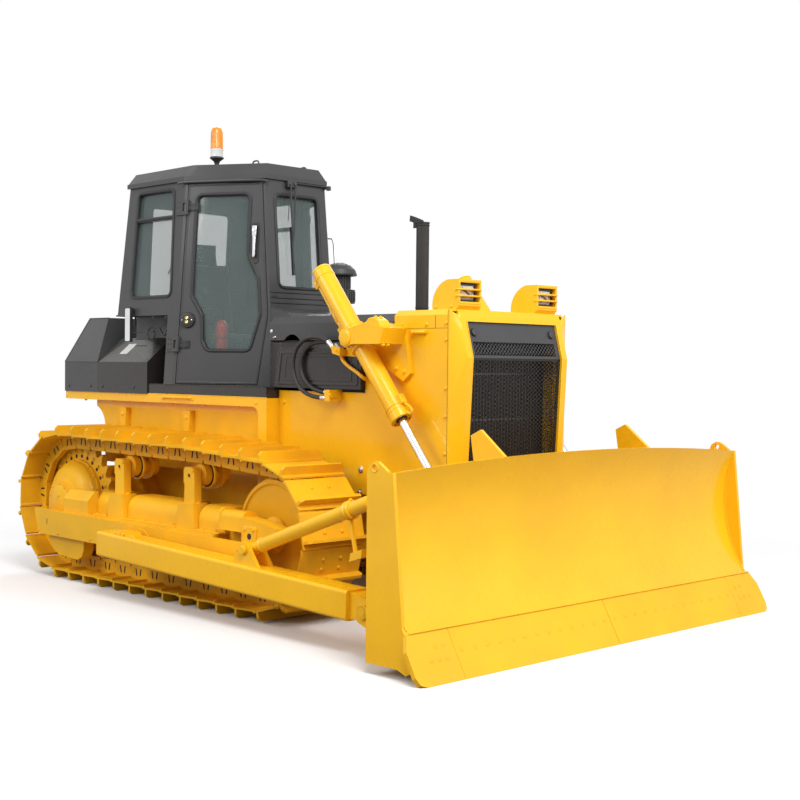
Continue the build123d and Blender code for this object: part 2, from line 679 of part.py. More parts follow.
with BuildPart() as side_panels:
    side_plate(
        (
            (PANEL_REAR_X, PANEL_BOTTOM), (GUARD_REAR_X, PANEL_BOTTOM), (GUARD_REAR_X, FRONT_HOOD_LOW),
            (HOOD_SPLIT_X, FRONT_HOOD_LOW), (HOOD_SPLIT_X, HOOD_LOW), (COVER_FRONT_X, HOOD_LOW),
            (COVER_FRONT_X, COVER_BOTTOM), (PANEL_REAR_X, COVER_BOTTOM),
        ),
        (BODY_HALF - PANEL, BODY_HALF),
    )
    # lower front apron, bolted over the hull's nose
    side_plate(
        ((1180, PANEL_BOTTOM), (GUARD_REAR_X, PANEL_BOTTOM), (GUARD_REAR_X, 620), (1330, 620)),
        (BODY_HALF - PANEL, BODY_HALF),
    )
    # lower port block of the lift hoses
    block((HOSE_OUTER[-1][0] + 0.3, HOSE_OUTER[-1][0] + 50), (BODY_HALF, HOSE_Y[0] + PORT_R),
          (HOSE_OUTER[-1][1] - PORT_R - 2, HOSE_INNER[-1][1] + PORT_R + 2))
    both_sides()
    block((PANEL_REAR_X, PANEL_REAR_X + PANEL), (-BODY_HALF + PANEL, BODY_HALF - PANEL), (HULL_SHELF, 1290))
save(side_panels, "side_panels")

COVER_OUT = 602
with BuildPart() as engine_covers:
    with BuildSketch(Plane.XZ.offset(-(BODY_HALF - PANEL))) as foot:
        with BuildLine():
            Polyline((HOOD_REAR_X, FLOOR_TOP), (COVER_FRONT_X - 1, FLOOR_TOP), (COVER_FRONT_X - 1, HOOD_LOW - 1),
                     (HOOD_REAR_X, HOOD_LOW - 1), close=True)
        make_face()
    with BuildSketch(Plane.XZ.offset(-COVER_OUT)) as face:
        with BuildLine():
            Polyline((HOOD_REAR_X + 110, FLOOR_TOP), (COVER_FRONT_X - 1, FLOOR_TOP),
                     (COVER_FRONT_X - 1, HOOD_LOW - 55), (HOOD_REAR_X + 150, HOOD_LOW - 55), close=True)
        make_face()
    loft([foot.sketch, face.sketch], ruled=True)
    both_sides()
    block((HOOD_REAR_X, HOOD_REAR_X + PANEL), (-BODY_HALF + PANEL, BODY_HALF - PANEL), (FLOOR_TOP, HOOD_LOW - 1))
save(engine_covers, "engine_covers")


def guard_front(inset):
    """The guard's front profile, bottom to top, set back by inset."""
    return (
        (GUARD_FOOT_X - inset, PANEL_BOTTOM), (GUARD_BEND[0] - inset, GUARD_BEND[1]),
        (GUARD_TOP_X - inset, FRONT_HOOD_TOP - 40), (GUARD_TOP_X - 14 - inset, FRONT_HOOD_TOP),
    )


def guard_x(z, inset):
    """X of the guard's front profile at height z, set back by inset."""
    low, bend, top = guard_front(inset)[:3]
    a, b = (low, bend) if z < bend[1] else (bend, top)
    return a[0] + (b[0] - a[0]) * (z - a[1]) / (b[1] - a[1])


GUARD_SKIN = 16
GUARD_HOLLOW = (PANEL_BOTTOM + 90, FRONT_HOOD_TOP - 42)
with BuildPart() as radiator_guard:
    front = guard_front(0)
    corner = [(GUARD_REAR_X + 12, z) for x, z in front]
    with BuildSketch(Plane.XZ.offset(-GUARD_HALF)) as inner_line:
        with BuildLine():
            Polyline((GUARD_REAR_X, PANEL_BOTTOM), *front, (GUARD_REAR_X, FRONT_HOOD_TOP), close=True)
        make_face()
    with BuildSketch(Plane.XZ.offset(-BODY_HALF)) as outer_line:
        with BuildLine():
            Polyline((GUARD_REAR_X, PANEL_BOTTOM), *corner, (GUARD_REAR_X, FRONT_HOOD_TOP), close=True)
        make_face()
    loft([inner_line.sketch, outer_line.sketch], ruled=True)
    both_sides()
    side_plate(
        ((GUARD_REAR_X, PANEL_BOTTOM), *front, (GUARD_REAR_X, FRONT_HOOD_TOP)),
        (-GUARD_HALF, GUARD_HALF),
    )
    # hollow behind, grille opening in front
    side_plate(
        (
            (GUARD_REAR_X - 5, GUARD_HOLLOW[0]), (guard_x(GUARD_HOLLOW[0], GUARD_SKIN), GUARD_HOLLOW[0]),
            (GUARD_BEND[0] - GUARD_SKIN, GUARD_BEND[1]), (guard_x(GUARD_HOLLOW[1], GUARD_SKIN), GUARD_HOLLOW[1]),
            (GUARD_REAR_X - 5, GUARD_HOLLOW[1]),
        ),
        (-GRILLE_HALF - 20, GRILLE_HALF + 20), mode=Mode.SUBTRACT,
    )
    block((GUARD_REAR_X, GUARD_REAR_X + 200), (-GRILLE_HALF, GRILLE_HALF),
          (GUARD_HOLLOW[0] + 60, GUARD_HOLLOW[1] - 30), mode=Mode.SUBTRACT)
save(radiator_guard, "radiator_guard")

GRILLE_SKIN = 8
GRILLE_INSET = GUARD_SKIN + 0.3
with BuildPart() as grille:
    low_z, top_z = GUARD_HOLLOW[0] + 4, GUARD_HOLLOW[1] - 4
    face = (
        (guard_x(low_z, GRILLE_INSET), low_z), (GUARD_BEND[0] - GRILLE_INSET, GUARD_BEND[1]),
        (guard_x(top_z, GRILLE_INSET), top_z),
    )
    side_plate((*face, *[(x - GRILLE_SKIN, z) for x, z in reversed(face)]), (-GRILLE_HALF - 15, GRILLE_HALF + 15))
    # diamond mesh below the bend, slot rows above it
    with BuildSketch(Plane.YZ.offset(GUARD_REAR_X - 40)) as mesh:
        for row in range(8):
            shift = 48 if row % 2 else 0
            count = 8 if row % 2 else 9
            with Locations((0, 1000 + row * 84)):
                with GridLocations(96, 1, count, 1):
                    Polygon((-40, 0), (0, -48), (40, 0), (0, 48), align=None)
        for row in range(3):
            with Locations((0, 1735 + row * 32)):
                with GridLocations(66, 1, 12, 1):
                    Polygon((-27, 0), (-20, 8), (20, 8), (27, 0), (20, -8), (-20, -8), align=None)
    extrude(mesh.sketch, amount=160, mode=Mode.SUBTRACT)
save(grille, "grille")

with BuildPart() as radiator:
    block((1480, 1590), (-430, 430), (HULL_SHELF, 1900))
save(radiator, "radiator")

# ------------------------------------------------------------------ lamps, exhaust, pre-cleaner
LAMP_Y = (270, 476)
LAMP_TOP = 2172
with BuildPart() as lamp_housings:
    with BuildSketch(Plane.XZ.offset(-LAMP_Y[1])) as shell:
        with BuildLine():
            Polyline((1640, FRONT_HOOD_TOP), (1661, 2010), (1661, LAMP_TOP), (1570, LAMP_TOP))
            ThreePointArc((1570, LAMP_TOP), (1478, 2120), (1440, FRONT_HOOD_TOP))
            Line((1440, FRONT_HOOD_TOP), (1640, FRONT_HOOD_TOP))
        make_face()
    extrude(shell.sketch, amount=LAMP_Y[1] - LAMP_Y[0])
    block((1560, 1700), (LAMP_Y[0] + 16, LAMP_Y[1] - 16), (2034, LAMP_TOP - 20), mode=Mode.SUBTRACT)
    for low in (2066, 2106):
        block((1640, 1656), (LAMP_Y[0] + 10, LAMP_Y[1] - 10), (low, low + 9))
    both_sides()
save(lamp_housings, "lamp_housings")

with BuildPart() as front_lamps:
    block((1560, 1622), (LAMP_Y[0] + 30, LAMP_Y[1] - 30), (2036, 2062))
    block((1560, 1622), (LAMP_Y[0] + 30, LAMP_Y[1] - 30), (2062, 2146))
    both_sides()
save(front_lamps, "front_lamps")

STACK_X = 880
STACK_R = 44
STACK_TOP = 2600
with BuildPart() as exhaust_stack:
    disc_z((STACK_X, 0), STACK_R, (HOOD_TOP, STACK_TOP))
    disc_z((STACK_X, 0), STACK_R - 4, (HOOD_TOP + 30, STACK_TOP), mode=Mode.SUBTRACT)
    disc_z((STACK_X, 0), STACK_R + 26, (HOOD_TOP, HOOD_TOP + 12))
    for side in (-1, 1):
        block((STACK_X - STACK_R - 26, STACK_X - STACK_R + 8), span(16, 22, side), (STACK_TOP - 30, STACK_TOP - 4))
        block((STACK_X - STACK_R - 26, STACK_X - STACK_R - 6), span(16, 22, side), (STACK_TOP - 5, STACK_TOP + 12))
save(exhaust_stack, "exhaust_stack")

CAP_HINGE = (STACK_X - STACK_R - 14, STACK_TOP + 2)
with BuildPart() as exhaust_cap:
    disc_z((STACK_X, 0), STACK_R + 4, (STACK_TOP + 0.5, STACK_TOP + 6.5))
    disc_y(CAP_HINGE, 9, (-14, 14))
    side_plate(
        (
            (CAP_HINGE[0] - 58, STACK_TOP + 62), (CAP_HINGE[0] - 62, STACK_TOP + 22), (CAP_HINGE[0] - 6, STACK_TOP + 4),
            (STACK_X + 10, STACK_TOP + 4), (STACK_X - 6, STACK_TOP + 24), (CAP_HINGE[0], STACK_TOP + 44),
        ),
        (-8, 8),
    )
save(exhaust_cap, "exhaust_cap")

CLEANER_X = 46
with BuildPart() as precleaner:
    with BuildSketch(Plane(origin=(CLEANER_X, 0, 0), x_dir=(1, 0, 0), z_dir=(0, -1, 0))) as profile:
        with BuildLine():
            Polyline((20, 2372), (0, 2372), (0, HOOD_TOP), (62, HOOD_TOP), (62, 2085), (108, 2085), (108, 2175),
                     (74, 2175), (74, 2278), (118, 2278), (124, 2290), (112, 2322), (82, 2350), (45, 2367),
                     (20, 2372))
        make_face()
    revolve(profile.sketch, axis=Axis((CLEANER_X, 0, 0), (0, 0, 1)))
save(precleaner, "precleaner")

# ------------------------------------------------------------------ cab
COWL_LEAN = (CAB_FLOOR[0][0] - CAB_EAVES[0][0]) / (EAVES_Z - FLOOR_TOP)


def cab_front_x(z):
    """X of the windshield wall's outer face at height z."""
    return CAB_FLOOR[0][0] - COWL_LEAN * (z - FLOOR_TOP)


def hexagon(corners):
    """The cab's plan outline from its front, shoulder and rear corners."""
    right = [(x, -y) for x, y in corners]
    left = [(x, y) for x, y in reversed(corners)]
    return right + left


def cab_block(grow, mode=Mode.ADD, low=FLOOR_TOP, high=EAVES_Z):
    """The cab's tapered hexagonal block, its walls moved out by grow."""
    height = high - low
    with BuildSketch(Plane.XY.offset(low)) as floor_line:
        Polygon(*hexagon(CAB_FLOOR), align=None)
        if grow:
            offset(amount=grow, kind=Kind.INTERSECTION)
    with BuildSketch(Plane.XY.offset(low + height)) as eaves_line:
        Polygon(*hexagon(CAB_EAVES), align=None)
        if grow:
            offset(amount=grow, kind=Kind.INTERSECTION)
    loft([floor_line.sketch, eaves_line.sketch], ruled=True, mode=mode)


with BuildPart() as cab_shell:
    cab_block(0)
    cab_block(-WALL, mode=Mode.SUBTRACT)

DOOR_RUN = (CAB_FLOOR[0][0] - CAB_FLOOR[1][0], CAB_FLOOR[1][1] - CAB_FLOOR[0][1])
POST_RISE = (CAB_EAVES[1][0] - CAB_FLOOR[1][0], CAB_FLOOR[1][1] - CAB_EAVES[1][1], EAVES_Z - FLOOR_TOP)
DOOR_OUT = (DOOR_RUN[1] * POST_RISE[2], -DOOR_RUN[0] * POST_RISE[2],
            DOOR_RUN[0] * POST_RISE[1] - DOOR_RUN[1] * POST_RISE[0])
DOOR_PLANE = Plane(
    origin=(CAB_FLOOR[1][0], -CAB_FLOOR[1][1], FLOOR_TOP), x_dir=(*DOOR_RUN, 0), z_dir=DOOR_OUT,
)
DOOR_OUTLINE = ((34, 10), (690, 10), (757, 510), (684, 1488), (92, 1488))
DOOR_WINDOW = (
    (160, 1412), (598, 1412), (590, 1140), (590, 960), (676, 790), (700, 520), (622, 255),
    (275, 255), (238, 330), (228, 520), (140, 660),
)


def door_prism(points, grow, out, deep, mode=Mode.ADD, corner=0):
    """A prism through the right door wall, from out in front of its face to deep behind it."""
    with BuildSketch(DOOR_PLANE.offset(-deep)) as outline:
        with BuildLine():
            Polyline(*points, close=True)
        make_face()
        if grow:
            offset(amount=grow, kind=Kind.INTERSECTION)
        if corner:
            fillet(outline.vertices(), corner)
    extrude(outline.sketch, amount=out + deep, mode=mode)


# Door hinges stand on an axis just outside the door's rear edge
HINGE_OUT = 14
HINGE_PLACES = (290, 1310)
HINGE_HALF = 30
HINGE_PIN_R = 8
hinge_low, hinge_high = [DOOR_PLANE.from_local_coords((*DOOR_OUTLINE[i], HINGE_OUT)) for i in (0, 4)]
HINGE_LINE = Plane(origin=hinge_low, x_dir=(1, 0, 0), z_dir=hinge_high - hinge_low)


def hinge_round(place, radius, low, high, mode=Mode.ADD):
    """A round on the right door's hinge line, low to high measured from a hinge's middle."""
    with BuildSketch(HINGE_LINE.offset(place + low)) as ring:
        Circle(radius)
    extrude(ring.sketch, amount=high - low, mode=mode)


def hinge_strap(place, x, low, high):
    """A flat strap on the side wall behind the hinge line."""
    with BuildSketch(HINGE_LINE.offset(place + low)) as strap:
        with Locations(((x[0] + x[1]) / 2, -8)):
            Rectangle(x[1] - x[0], 12)
    extrude(strap.sketch, amount=high - low)


SIDE_WINDOW = ((-1664, 2140), (-1640, 2948), (-1165, 2948), (-1128, 2140))
FRONT_WINDOW = (-208, 208, 2205, 2895)
REAR_WINDOW = (-390, 390, 2120, 2880)
SIDE_BAR = (2722, 2752)


def side_window(grow, y, mode):
    """The right side window's opening or panes, rounded at the corners."""
    with BuildSketch(Plane.XZ.offset(-y[1])) as outline:
        with BuildLine():
            Polyline(*SIDE_WINDOW, close=True)
        make_face()
        if grow:
            offset(amount=grow, kind=Kind.INTERSECTION)
        fillet(outline.vertices(), 50)
        with Locations(((SIDE_WINDOW[0][0] + SIDE_WINDOW[3][0]) / 2, sum(SIDE_BAR) / 2)):
            Rectangle(700, SIDE_BAR[1] - SIDE_BAR[0] - 2 * grow, mode=Mode.SUBTRACT)
    extrude(outline.sketch, amount=y[1] - y[0], mode=mode)


def end_window(limits, grow, x, mode):
    """A rounded window in the front or rear wall: limits are y low, y high, z low, z high."""
    middle = ((limits[0] + limits[1]) / 2, (limits[2] + limits[3]) / 2)
    with BuildSketch(Plane.YZ.offset(x[0])) as outline:
        with Locations(middle):
            RectangleRounded(limits[1] - limits[0] + 2 * grow, limits[3] - limits[2] + 2 * grow, 50)
    extrude(outline.sketch, amount=x[1] - x[0], mode=mode)


SHELL_Z = (FLOOR_TOP - 1, EAVES_Z + 1)
with BuildPart() as cab_front:
    add(cab_shell.part)
    block((-700, -200), (-CAB_EAVES[0][1] + 12, CAB_EAVES[0][1] - 12), SHELL_Z, mode=Mode.INTERSECT)
    end_window(FRONT_WINDOW, 0, (-700, -200), Mode.SUBTRACT)
    with BuildPart(mode=Mode.PRIVATE) as door_gaps:
        door_prism(DOOR_OUTLINE, SEAM, 100, 120)
        mirror(about=Plane.XZ)
    add(door_gaps.part, mode=Mode.SUBTRACT)
save(cab_front, "cab_front")

# air intake, its bracket and a small mirror in the recess on the right side
with BuildPart() as cab_fittings:
    block((-1372, QUARTER_X[1] - 1.3), (-640, -560), (1860, QUARTER_Z - 0.3))
    disc_y((-1500, 1862), 45, (-560, -QUARTER_Y[1] - 0.3))
    side_plate(
        (
            (-1637, 1905), (-1356, 1908), (-1395, 1820), (-1480, 1690), (-1515, 1672), (-1552, 1684),
            (-1600, 1800),
        ),
        (-640, -545),
    )
    block((-1648, -1345), (-628, -560), (1905, 1922))
    block((-1640, -1612), (-672, -560), (2030, 2058))
    block((-1662, -1590), (-692, -668), (1800, 2064))
    cab_block(0.3, mode=Mode.SUBTRACT)
save(cab_fittings, "cab_fittings")

REAR_SPLIT_X = -1700
with BuildPart() as cab_rear:
    add(cab_shell.part)
    block((-2000, REAR_SPLIT_X), (-TANK_TOP_HALF + 2, TANK_TOP_HALF - 2), SHELL_Z, mode=Mode.INTERSECT)
    end_window(REAR_WINDOW, 0, (-2000, -1600), Mode.SUBTRACT)
save(cab_rear, "cab_rear")

with BuildPart() as cab_sides:
    add(cab_shell.part)
    block((-700, -200), (-CAB_EAVES[0][1] + 12, CAB_EAVES[0][1] - 12), SHELL_Z, mode=Mode.SUBTRACT)
    block((-2000, REAR_SPLIT_X), (-TANK_TOP_HALF + 2, TANK_TOP_HALF - 2), SHELL_Z, mode=Mode.SUBTRACT)
    block((-2000, QUARTER_X[1]), (-BOX_HALF - 20, BOX_HALF + 20), (FLOOR_TOP - 1, QUARTER_Z), mode=Mode.SUBTRACT)
    block((-2000, 0), (0, 800), SHELL_Z, mode=Mode.SUBTRACT)
    door_prism(DOOR_OUTLINE, SEAM, 100, 120, mode=Mode.SUBTRACT)
    side_window(0, (-800, -300), Mode.SUBTRACT)
    # recess over the side box: its ceiling, inner wall and front wall
    block((QUARTER_X[0], QUARTER_X[1] + PANEL), (-648, -QUARTER_Y[0]), (QUARTER_Z, QUARTER_Z + PANEL))
    block((QUARTER_X[0], QUARTER_X[1] + PANEL), (-QUARTER_Y[1], -QUARTER_Y[0]), (FLOOR_TOP, QUARTER_Z + PANEL))
    block((QUARTER_X[1] - 1, QUARTER_X[1] + PANEL), (-648, -QUARTER_Y[0]), (FLOOR_TOP, QUARTER_Z + PANEL))
    # fixed halves of the door hinges, with their pins
    for place in HINGE_PLACES:
        hinge_strap(place, (-116, -34), -56, 56)
        for low, high in ((-56, -HINGE_HALF - 1), (HINGE_HALF + 1, 56)):
            hinge_strap(place, (-40, 0), low, high)
            hinge_round(place, HINGE_OUT, low, high)
        hinge_round(place, HINGE_PIN_R, -56, 56)
    both_sides()
save(cab_sides, "cab_sides")

for name, side in (("door_right", -1), ("door_left", 1)):
    with BuildPart() as right_door:
        add(cab_shell.part)
        door_prism(DOOR_OUTLINE, 0, 100, 120, mode=Mode.INTERSECT)
        door_prism(DOOR_WINDOW, 0, 100, 120, mode=Mode.SUBTRACT, corner=34)
        # grab handle in its notch and the round lock
        with BuildSketch(DOOR_PLANE.offset(-1)) as handle:
            with Locations((640, 1050)):
                Rectangle(26, 190)
            with Locations((118, 480)):
                Circle(52)
        extrude(handle.sketch, amount=17)
        # hinge leaves with their knuckles on the rear edge
        for place in HINGE_PLACES:
            along_edge = DOOR_OUTLINE[0][0] + place * (DOOR_OUTLINE[4][0] - DOOR_OUTLINE[0][0]) / DOOR_OUTLINE[4][1]
            with BuildSketch(DOOR_PLANE.offset(-1)) as leaf:
                with Locations((along_edge + 48, DOOR_OUTLINE[0][1] + place)):
                    Rectangle(86, 2 * HINGE_HALF - 6)
            extrude(leaf.sketch, amount=11)
            hinge_round(place, HINGE_OUT, -HINGE_HALF, HINGE_HALF)
            hinge_round(place, HINGE_PIN_R + FIT, -HINGE_HALF - 1, HINGE_HALF + 1, mode=Mode.SUBTRACT)
    with BuildPart() as door:
        if side < 0:
            add(right_door.part)
        else:
            mirror(right_door.part, about=Plane.XZ)
    save(door, name)

for name, side in (("door_glass_right", -1), ("door_glass_left", 1)):
    with BuildPart() as right_glass:
        door_prism(DOOR_WINDOW, -0.3, -WALL / 2 + GLASS, WALL / 2, corner=34)
    with BuildPart() as glass:
        if side < 0:
            add(right_glass.part)
        else:
            mirror(right_glass.part, about=Plane.XZ)
    save(glass, name)

with BuildPart() as cab_glass:
    cab_block(-WALL / 2)
    cab_block(-WALL / 2 - GLASS, mode=Mode.SUBTRACT)
    with BuildPart(mode=Mode.PRIVATE) as panes:
        end_window(FRONT_WINDOW, -0.3, (-480, -300), Mode.ADD)
        end_window(REAR_WINDOW, -0.3, (-2000, -1720), Mode.ADD)
        side_window(-0.3, (-700, -500), Mode.ADD)
        mirror(about=Plane.XZ)
    add(panes.part, mode=Mode.INTERSECT)
save(cab_glass, "cab_glass")

ROOF_RIM = 18
with BuildPart() as cab_roof:
    with BuildSketch(Plane.XY.offset(EAVES_Z)) as rim:
        Polygon(*hexagon(CAB_EAVES), align=None)
        offset(amount=ROOF_RIM, kind=Kind.INTERSECTION)
    extrude(rim.sketch, amount=34)
    with BuildSketch(Plane.XY.offset(EAVES_Z + 34)) as brow:
        Polygon(*hexagon(CAB_EAVES), align=None)
        offset(amount=ROOF_RIM - 6, kind=Kind.INTERSECTION)
    with BuildSketch(Plane.XY.offset(ROOF_Z)) as crown:
        Polygon(*hexagon(((-469, 258), (-977, 560), (-1779, 542))), align=None)
        offset(amount=-14, kind=Kind.INTERSECTION)
    loft([brow.sketch, crown.sketch], ruled=True)
save(cab_roof, "cab_roof")

with BuildPart() as seat:
    block((-1560, -1080), (-230, 230), (FLOOR_TOP, 1740))
    side_plate(((-1580, 1740), (-1050, 1760), (-1050, 1870), (-1560, 1850)), (-250, 250))
    side_plate(((-1590, 1850), (-1470, 1850), (-1560, 2440), (-1660, 2430)), (-250, 250))
    side_plate(((-1640, 2430), (-1570, 2440), (-1600, 2600), (-1655, 2590)), (-140, 140))
    for side in (-1, 1):
        side_plate(
            ((-1500, 1740), (-1150, 1740), (-1080, 2030), (-1110, 2070), (-1500, 2050)),
            span(262, 400, side),
        )
        block((-1560, -1080), span(230, 262, side), (1600, 1740))
save(seat, "seat")

with BuildPart() as console:
    inner_x = [cab_front_x(z) - WALL - 2 for z in (FLOOR_TOP, 2120)]
    side_plate(
        (
            (inner_x[0], FLOOR_TOP), (inner_x[1], 2120), (inner_x[1] - 170, 2080),
            (inner_x[1] - 190, 1990), (inner_x[0] - 130, FLOOR_TOP),
        ),
        (-200, 200),
    )
save(console, "console")

with BuildPart() as cowl:
    rear_x = [cab_front_x(z) + 1 for z in (FLOOR_TOP, 2050)]
    side_plate(
        (
            (rear_x[0], FLOOR_TOP), (HOOD_REAR_X - 1, FLOOR_TOP), (HOOD_REAR_X - 1, HOOD_TOP - 30),
            (HOOD_REAR_X - 120, 2010), (rear_x[1], 2050),
        ),
        (-300, 300),
    )
save(cowl, "cowl")

BEACON = (-1425, 0)
with BuildPart() as beacon:
    disc_z(BEACON, 14, (ROOF_Z, 3260))
    disc_z(BEACON, 42, (3260, 3278))
    disc_z(BEACON, 55, (3278, 3360))
    disc_z(BEACON, 50, (3360, 3480))
    disc_z(BEACON, 36, (3480, 3520))
    disc_z(BEACON, 60, (ROOF_Z, ROOF_Z + 10))
save(beacon, "beacon")

REAR_LEAN = (CAB_EAVES[2][0] - CAB_FLOOR[2][0]) / (EAVES_Z - FLOOR_TOP)
with BuildPart() as rear_lamps:
    bracket = [(CAB_FLOOR[2][0] + REAR_LEAN * (z - FLOOR_TOP), z) for z in (2090, 2290)]
    side_plate(((-1905, 2090), *bracket, (-1905, 2290)), (390, 430))
    for z in (2090, 2205):
        block((-1985, -1905), (350, 470), (z, z + 85))
    both_sides()
save(rear_lamps, "rear_lamps")

# ------------------------------------------------------------------ hoses of the lift cylinders
def hose(points, y, name):
    """A round hose: runs between (x, z) points joined by tangent arcs, at one distance from the middle."""
    corners = [Vector(x, y, z) for x, z in points]
    radii = []
    for before, here, after in zip(corners, corners[1:], corners[2:]):
        into, out = here - before, after - here
        turn = radians(into.get_angle(out))
        radii.append(0.45 * min(into.length, out.length) / tan(turn / 2))
    with BuildPart() as rubber:
        with BuildLine() as route:
            FilletPolyline(*corners, radius=radii)
        with BuildSketch(Plane(origin=route.line @ 0, z_dir=route.line % 0)) as section:
            Circle(HOSE_R)
        sweep(section.sketch, path=route.line)
    length = sum(run.length for run in route.line.edges())
    print(name, "smallest bend", round(min(radii)), "length", round(length),
          "volume share", round(rubber.part.volume / (pi * HOSE_R**2 * length), 4))
    save(rubber, name)


for side, which in ((-1, "right"), (1, "left")):
    hose(HOSE_OUTER, side * HOSE_Y[0], f"hose_{which}_outer")
    hose(HOSE_INNER, side * HOSE_Y[1], f"hose_{which}_inner")

# ------------------------------------------------------------------ lift cylinders
TRUNNION_R = 30
with BuildPart() as lift_brackets:
    px, pz = LIFT_TRUNNION
    # mounting plate on the hood side, tapering down to the side panel
    side_plate(
        (
            (px - 50, pz - 90), (px + 30, pz - 120), (1300, 1540), (1360, 1590), (1300, 1880), (1120, 1915),
            (px - 30, pz + 90), (px - 50, pz + 50),
        ),
        (BODY_HALF, 588),
    )
    # bearing block ahead of the cylinder
    side_plate(
        ((1135, 1850), (1290, 1770), (1330, 1870), (1160, 1905)),
        (588, 790),
    )
    # outer cheek back to the pin
    side_plate(
        (
            (px - 62, pz), (px - 44, pz - 44), (px, pz - 62), (px + 50, pz - 40), (1290, 1770), (1330, 1870),
            (1160, 1905), (px + 30, pz + 58), (px - 30, pz + 58), (px - 55, pz + 30),
        ),
        (768, 790),
    )
    disc_y(LIFT_TRUNNION, TRUNNION_R + FIT, (540, 800), mode=Mode.SUBTRACT)
    # arm to the hoses' upper ports: two blocks, each with its ferrule
    block((COVER_FRONT_X, COVER_FRONT_X + 17), (BODY_HALF, COVER_OUT + 14), (1690, 1732))
    side_plate(
        ((COVER_FRONT_X + 17, 1690), (COVER_FRONT_X + 17, 1732), (800, 1752), (800, 1696)),
        (COVER_OUT + 2, COVER_OUT + 14),
    )
    side_plate(
        ((752, 1712), (766, 1736), (800, 1740), (800, 1696), (760, 1692)),
        (COVER_OUT + 2, HOSE_Y[1] + PORT_R + 1),
    )
    side_plate(
        ((720, 1733), (734, 1757), (800, 1752), (800, 1696), (728, 1712)),
        (HOSE_Y[0] - PORT_R, HOSE_Y[0] + PORT_R + 1),
    )
    for points, y in ((HOSE_OUTER, HOSE_Y[0]), (HOSE_INNER, HOSE_Y[1])):
        start, leaving = points[:2]
        back = (2 * start[0] - leaving[0], 2 * start[1] - leaving[1])
        with BuildSketch(axis_plane(start, back, y).offset(0.3)) as ferrule:
            Circle(PORT_R)
        extrude(ferrule.sketch, amount=34)
    both_sides()
save(lift_brackets, "lift_brackets")

for side, which in ((-1, "right"), (1, "left")):
    middle = side * LIFT_Y
    along = axis_plane(LIFT_TRUNNION, LIFT_PIN, middle)
    back = axis_plane(LIFT_PIN, LIFT_TRUNNION, middle)
    with BuildPart() as lift_barrel:
        with BuildSketch(along.offset(-BARREL_ABOVE)) as tube:
            Circle(BARREL_R)
        extrude(tube.sketch, amount=BARREL_ABOVE + BARREL_BELOW)
        with BuildSketch(along.offset(-BARREL_ABOVE + 20)) as bore:
            Circle(BARREL_R - 12)
        extrude(bore.sketch, amount=BARREL_ABOVE + BARREL_BELOW - 50, mode=Mode.SUBTRACT)
        with BuildSketch(along.offset(-70)) as collar:
            Circle(BARREL_R + 13)
            Circle(BARREL_R, mode=Mode.SUBTRACT)
        extrude(collar.sketch, amount=150)
        with BuildSketch(along.offset(BARREL_BELOW - 26)) as gland:
            Circle(BARREL_R + 6)
        extrude(gland.sketch, amount=50)
        with BuildSketch(along.offset(BARREL_BELOW - 60)) as gland_bore:
            Circle(LIFT_ROD_R + FIT)
        extrude(gland_bore.sketch, amount=90, mode=Mode.SUBTRACT)
        disc_y(LIFT_TRUNNION, TRUNNION_R, span(BODY_HALF + 4, LIFT_Y - BARREL_R - 2, side))
        disc_y(LIFT_TRUNNION, TRUNNION_R, span(LIFT_Y + BARREL_R + 2, 796, side))
        # oil pipe along the barrel, with its end block
        with BuildSketch(along.offset(-BARREL_ABOVE + 30)) as pipe:
            with Locations((0, -BARREL_R - 16)):
                Circle(13)
        extrude(pipe.sketch, amount=BARREL_ABOVE - 110)
        with BuildSketch(along.offset(-BARREL_ABOVE + 20)) as pipe_end:
            with Locations((0, -BARREL_R - 14)):
                Rectangle(40, 44)
        extrude(pipe_end.sketch, amount=60)
        with BuildSketch(along.offset(-150)) as pipe_foot:
            with Locations((0, -BARREL_R - 14)):
                Rectangle(46, 44)
        extrude(pipe_foot.sketch, amount=80)
    save(lift_barrel, f"lift_barrel_{which}")
    with BuildPart() as lift_rod:
        with BuildSketch(back.offset(45)) as rod:
            Circle(LIFT_ROD_R)
        extrude(rod.sketch, amount=LIFT_ROD_LENGTH - 45)
        with BuildSketch(back.offset(LIFT_ROD_LENGTH - PISTON)) as piston:
            Circle(BARREL_R - 12 - FIT)
        extrude(piston.sketch, amount=PISTON)
        disc_y(LIFT_PIN, 58, span(LIFT_Y - 35, LIFT_Y + 35, side))
        disc_y(LIFT_PIN, 32, span(LIFT_Y - 36, LIFT_Y + 36, side), mode=Mode.SUBTRACT)
    save(lift_rod, f"lift_rod_{which}")

# ------------------------------------------------------------------ push arms
with BuildPart() as trunnion_balls:
    for side in (-1, 1):
        with Locations((TRUNNION[0], side * ARM_Y, TRUNNION[1])):
            Sphere(BALL_R)
        for near, far in ((ARM_Y - BALL_R - 5, ARM_Y - BALL_HALF), (ARM_Y + BALL_HALF, ARM_Y + BALL_R + 5)):
            block((TRUNNION[0] - 100, TRUNNION[0] + 100), span(near, far, side),
                  (TRUNNION[1] - 100, TRUNNION[1] + 100), mode=Mode.SUBTRACT)
        disc_y(TRUNNION, STUB_R + FIT, span(ARM_Y - 100, ARM_Y + 100, side), mode=Mode.SUBTRACT)
save(trunnion_balls, "trunnion_balls")

ARM_SLOPE = (ARM_PIN[1] - TRUNNION[1]) / (ARM_PIN[0] - TRUNNION[0])


def arm_z(x):
    """Height of the push arm's centre line at x."""
    return TRUNNION[1] + ARM_SLOPE * (x - TRUNNION[0])


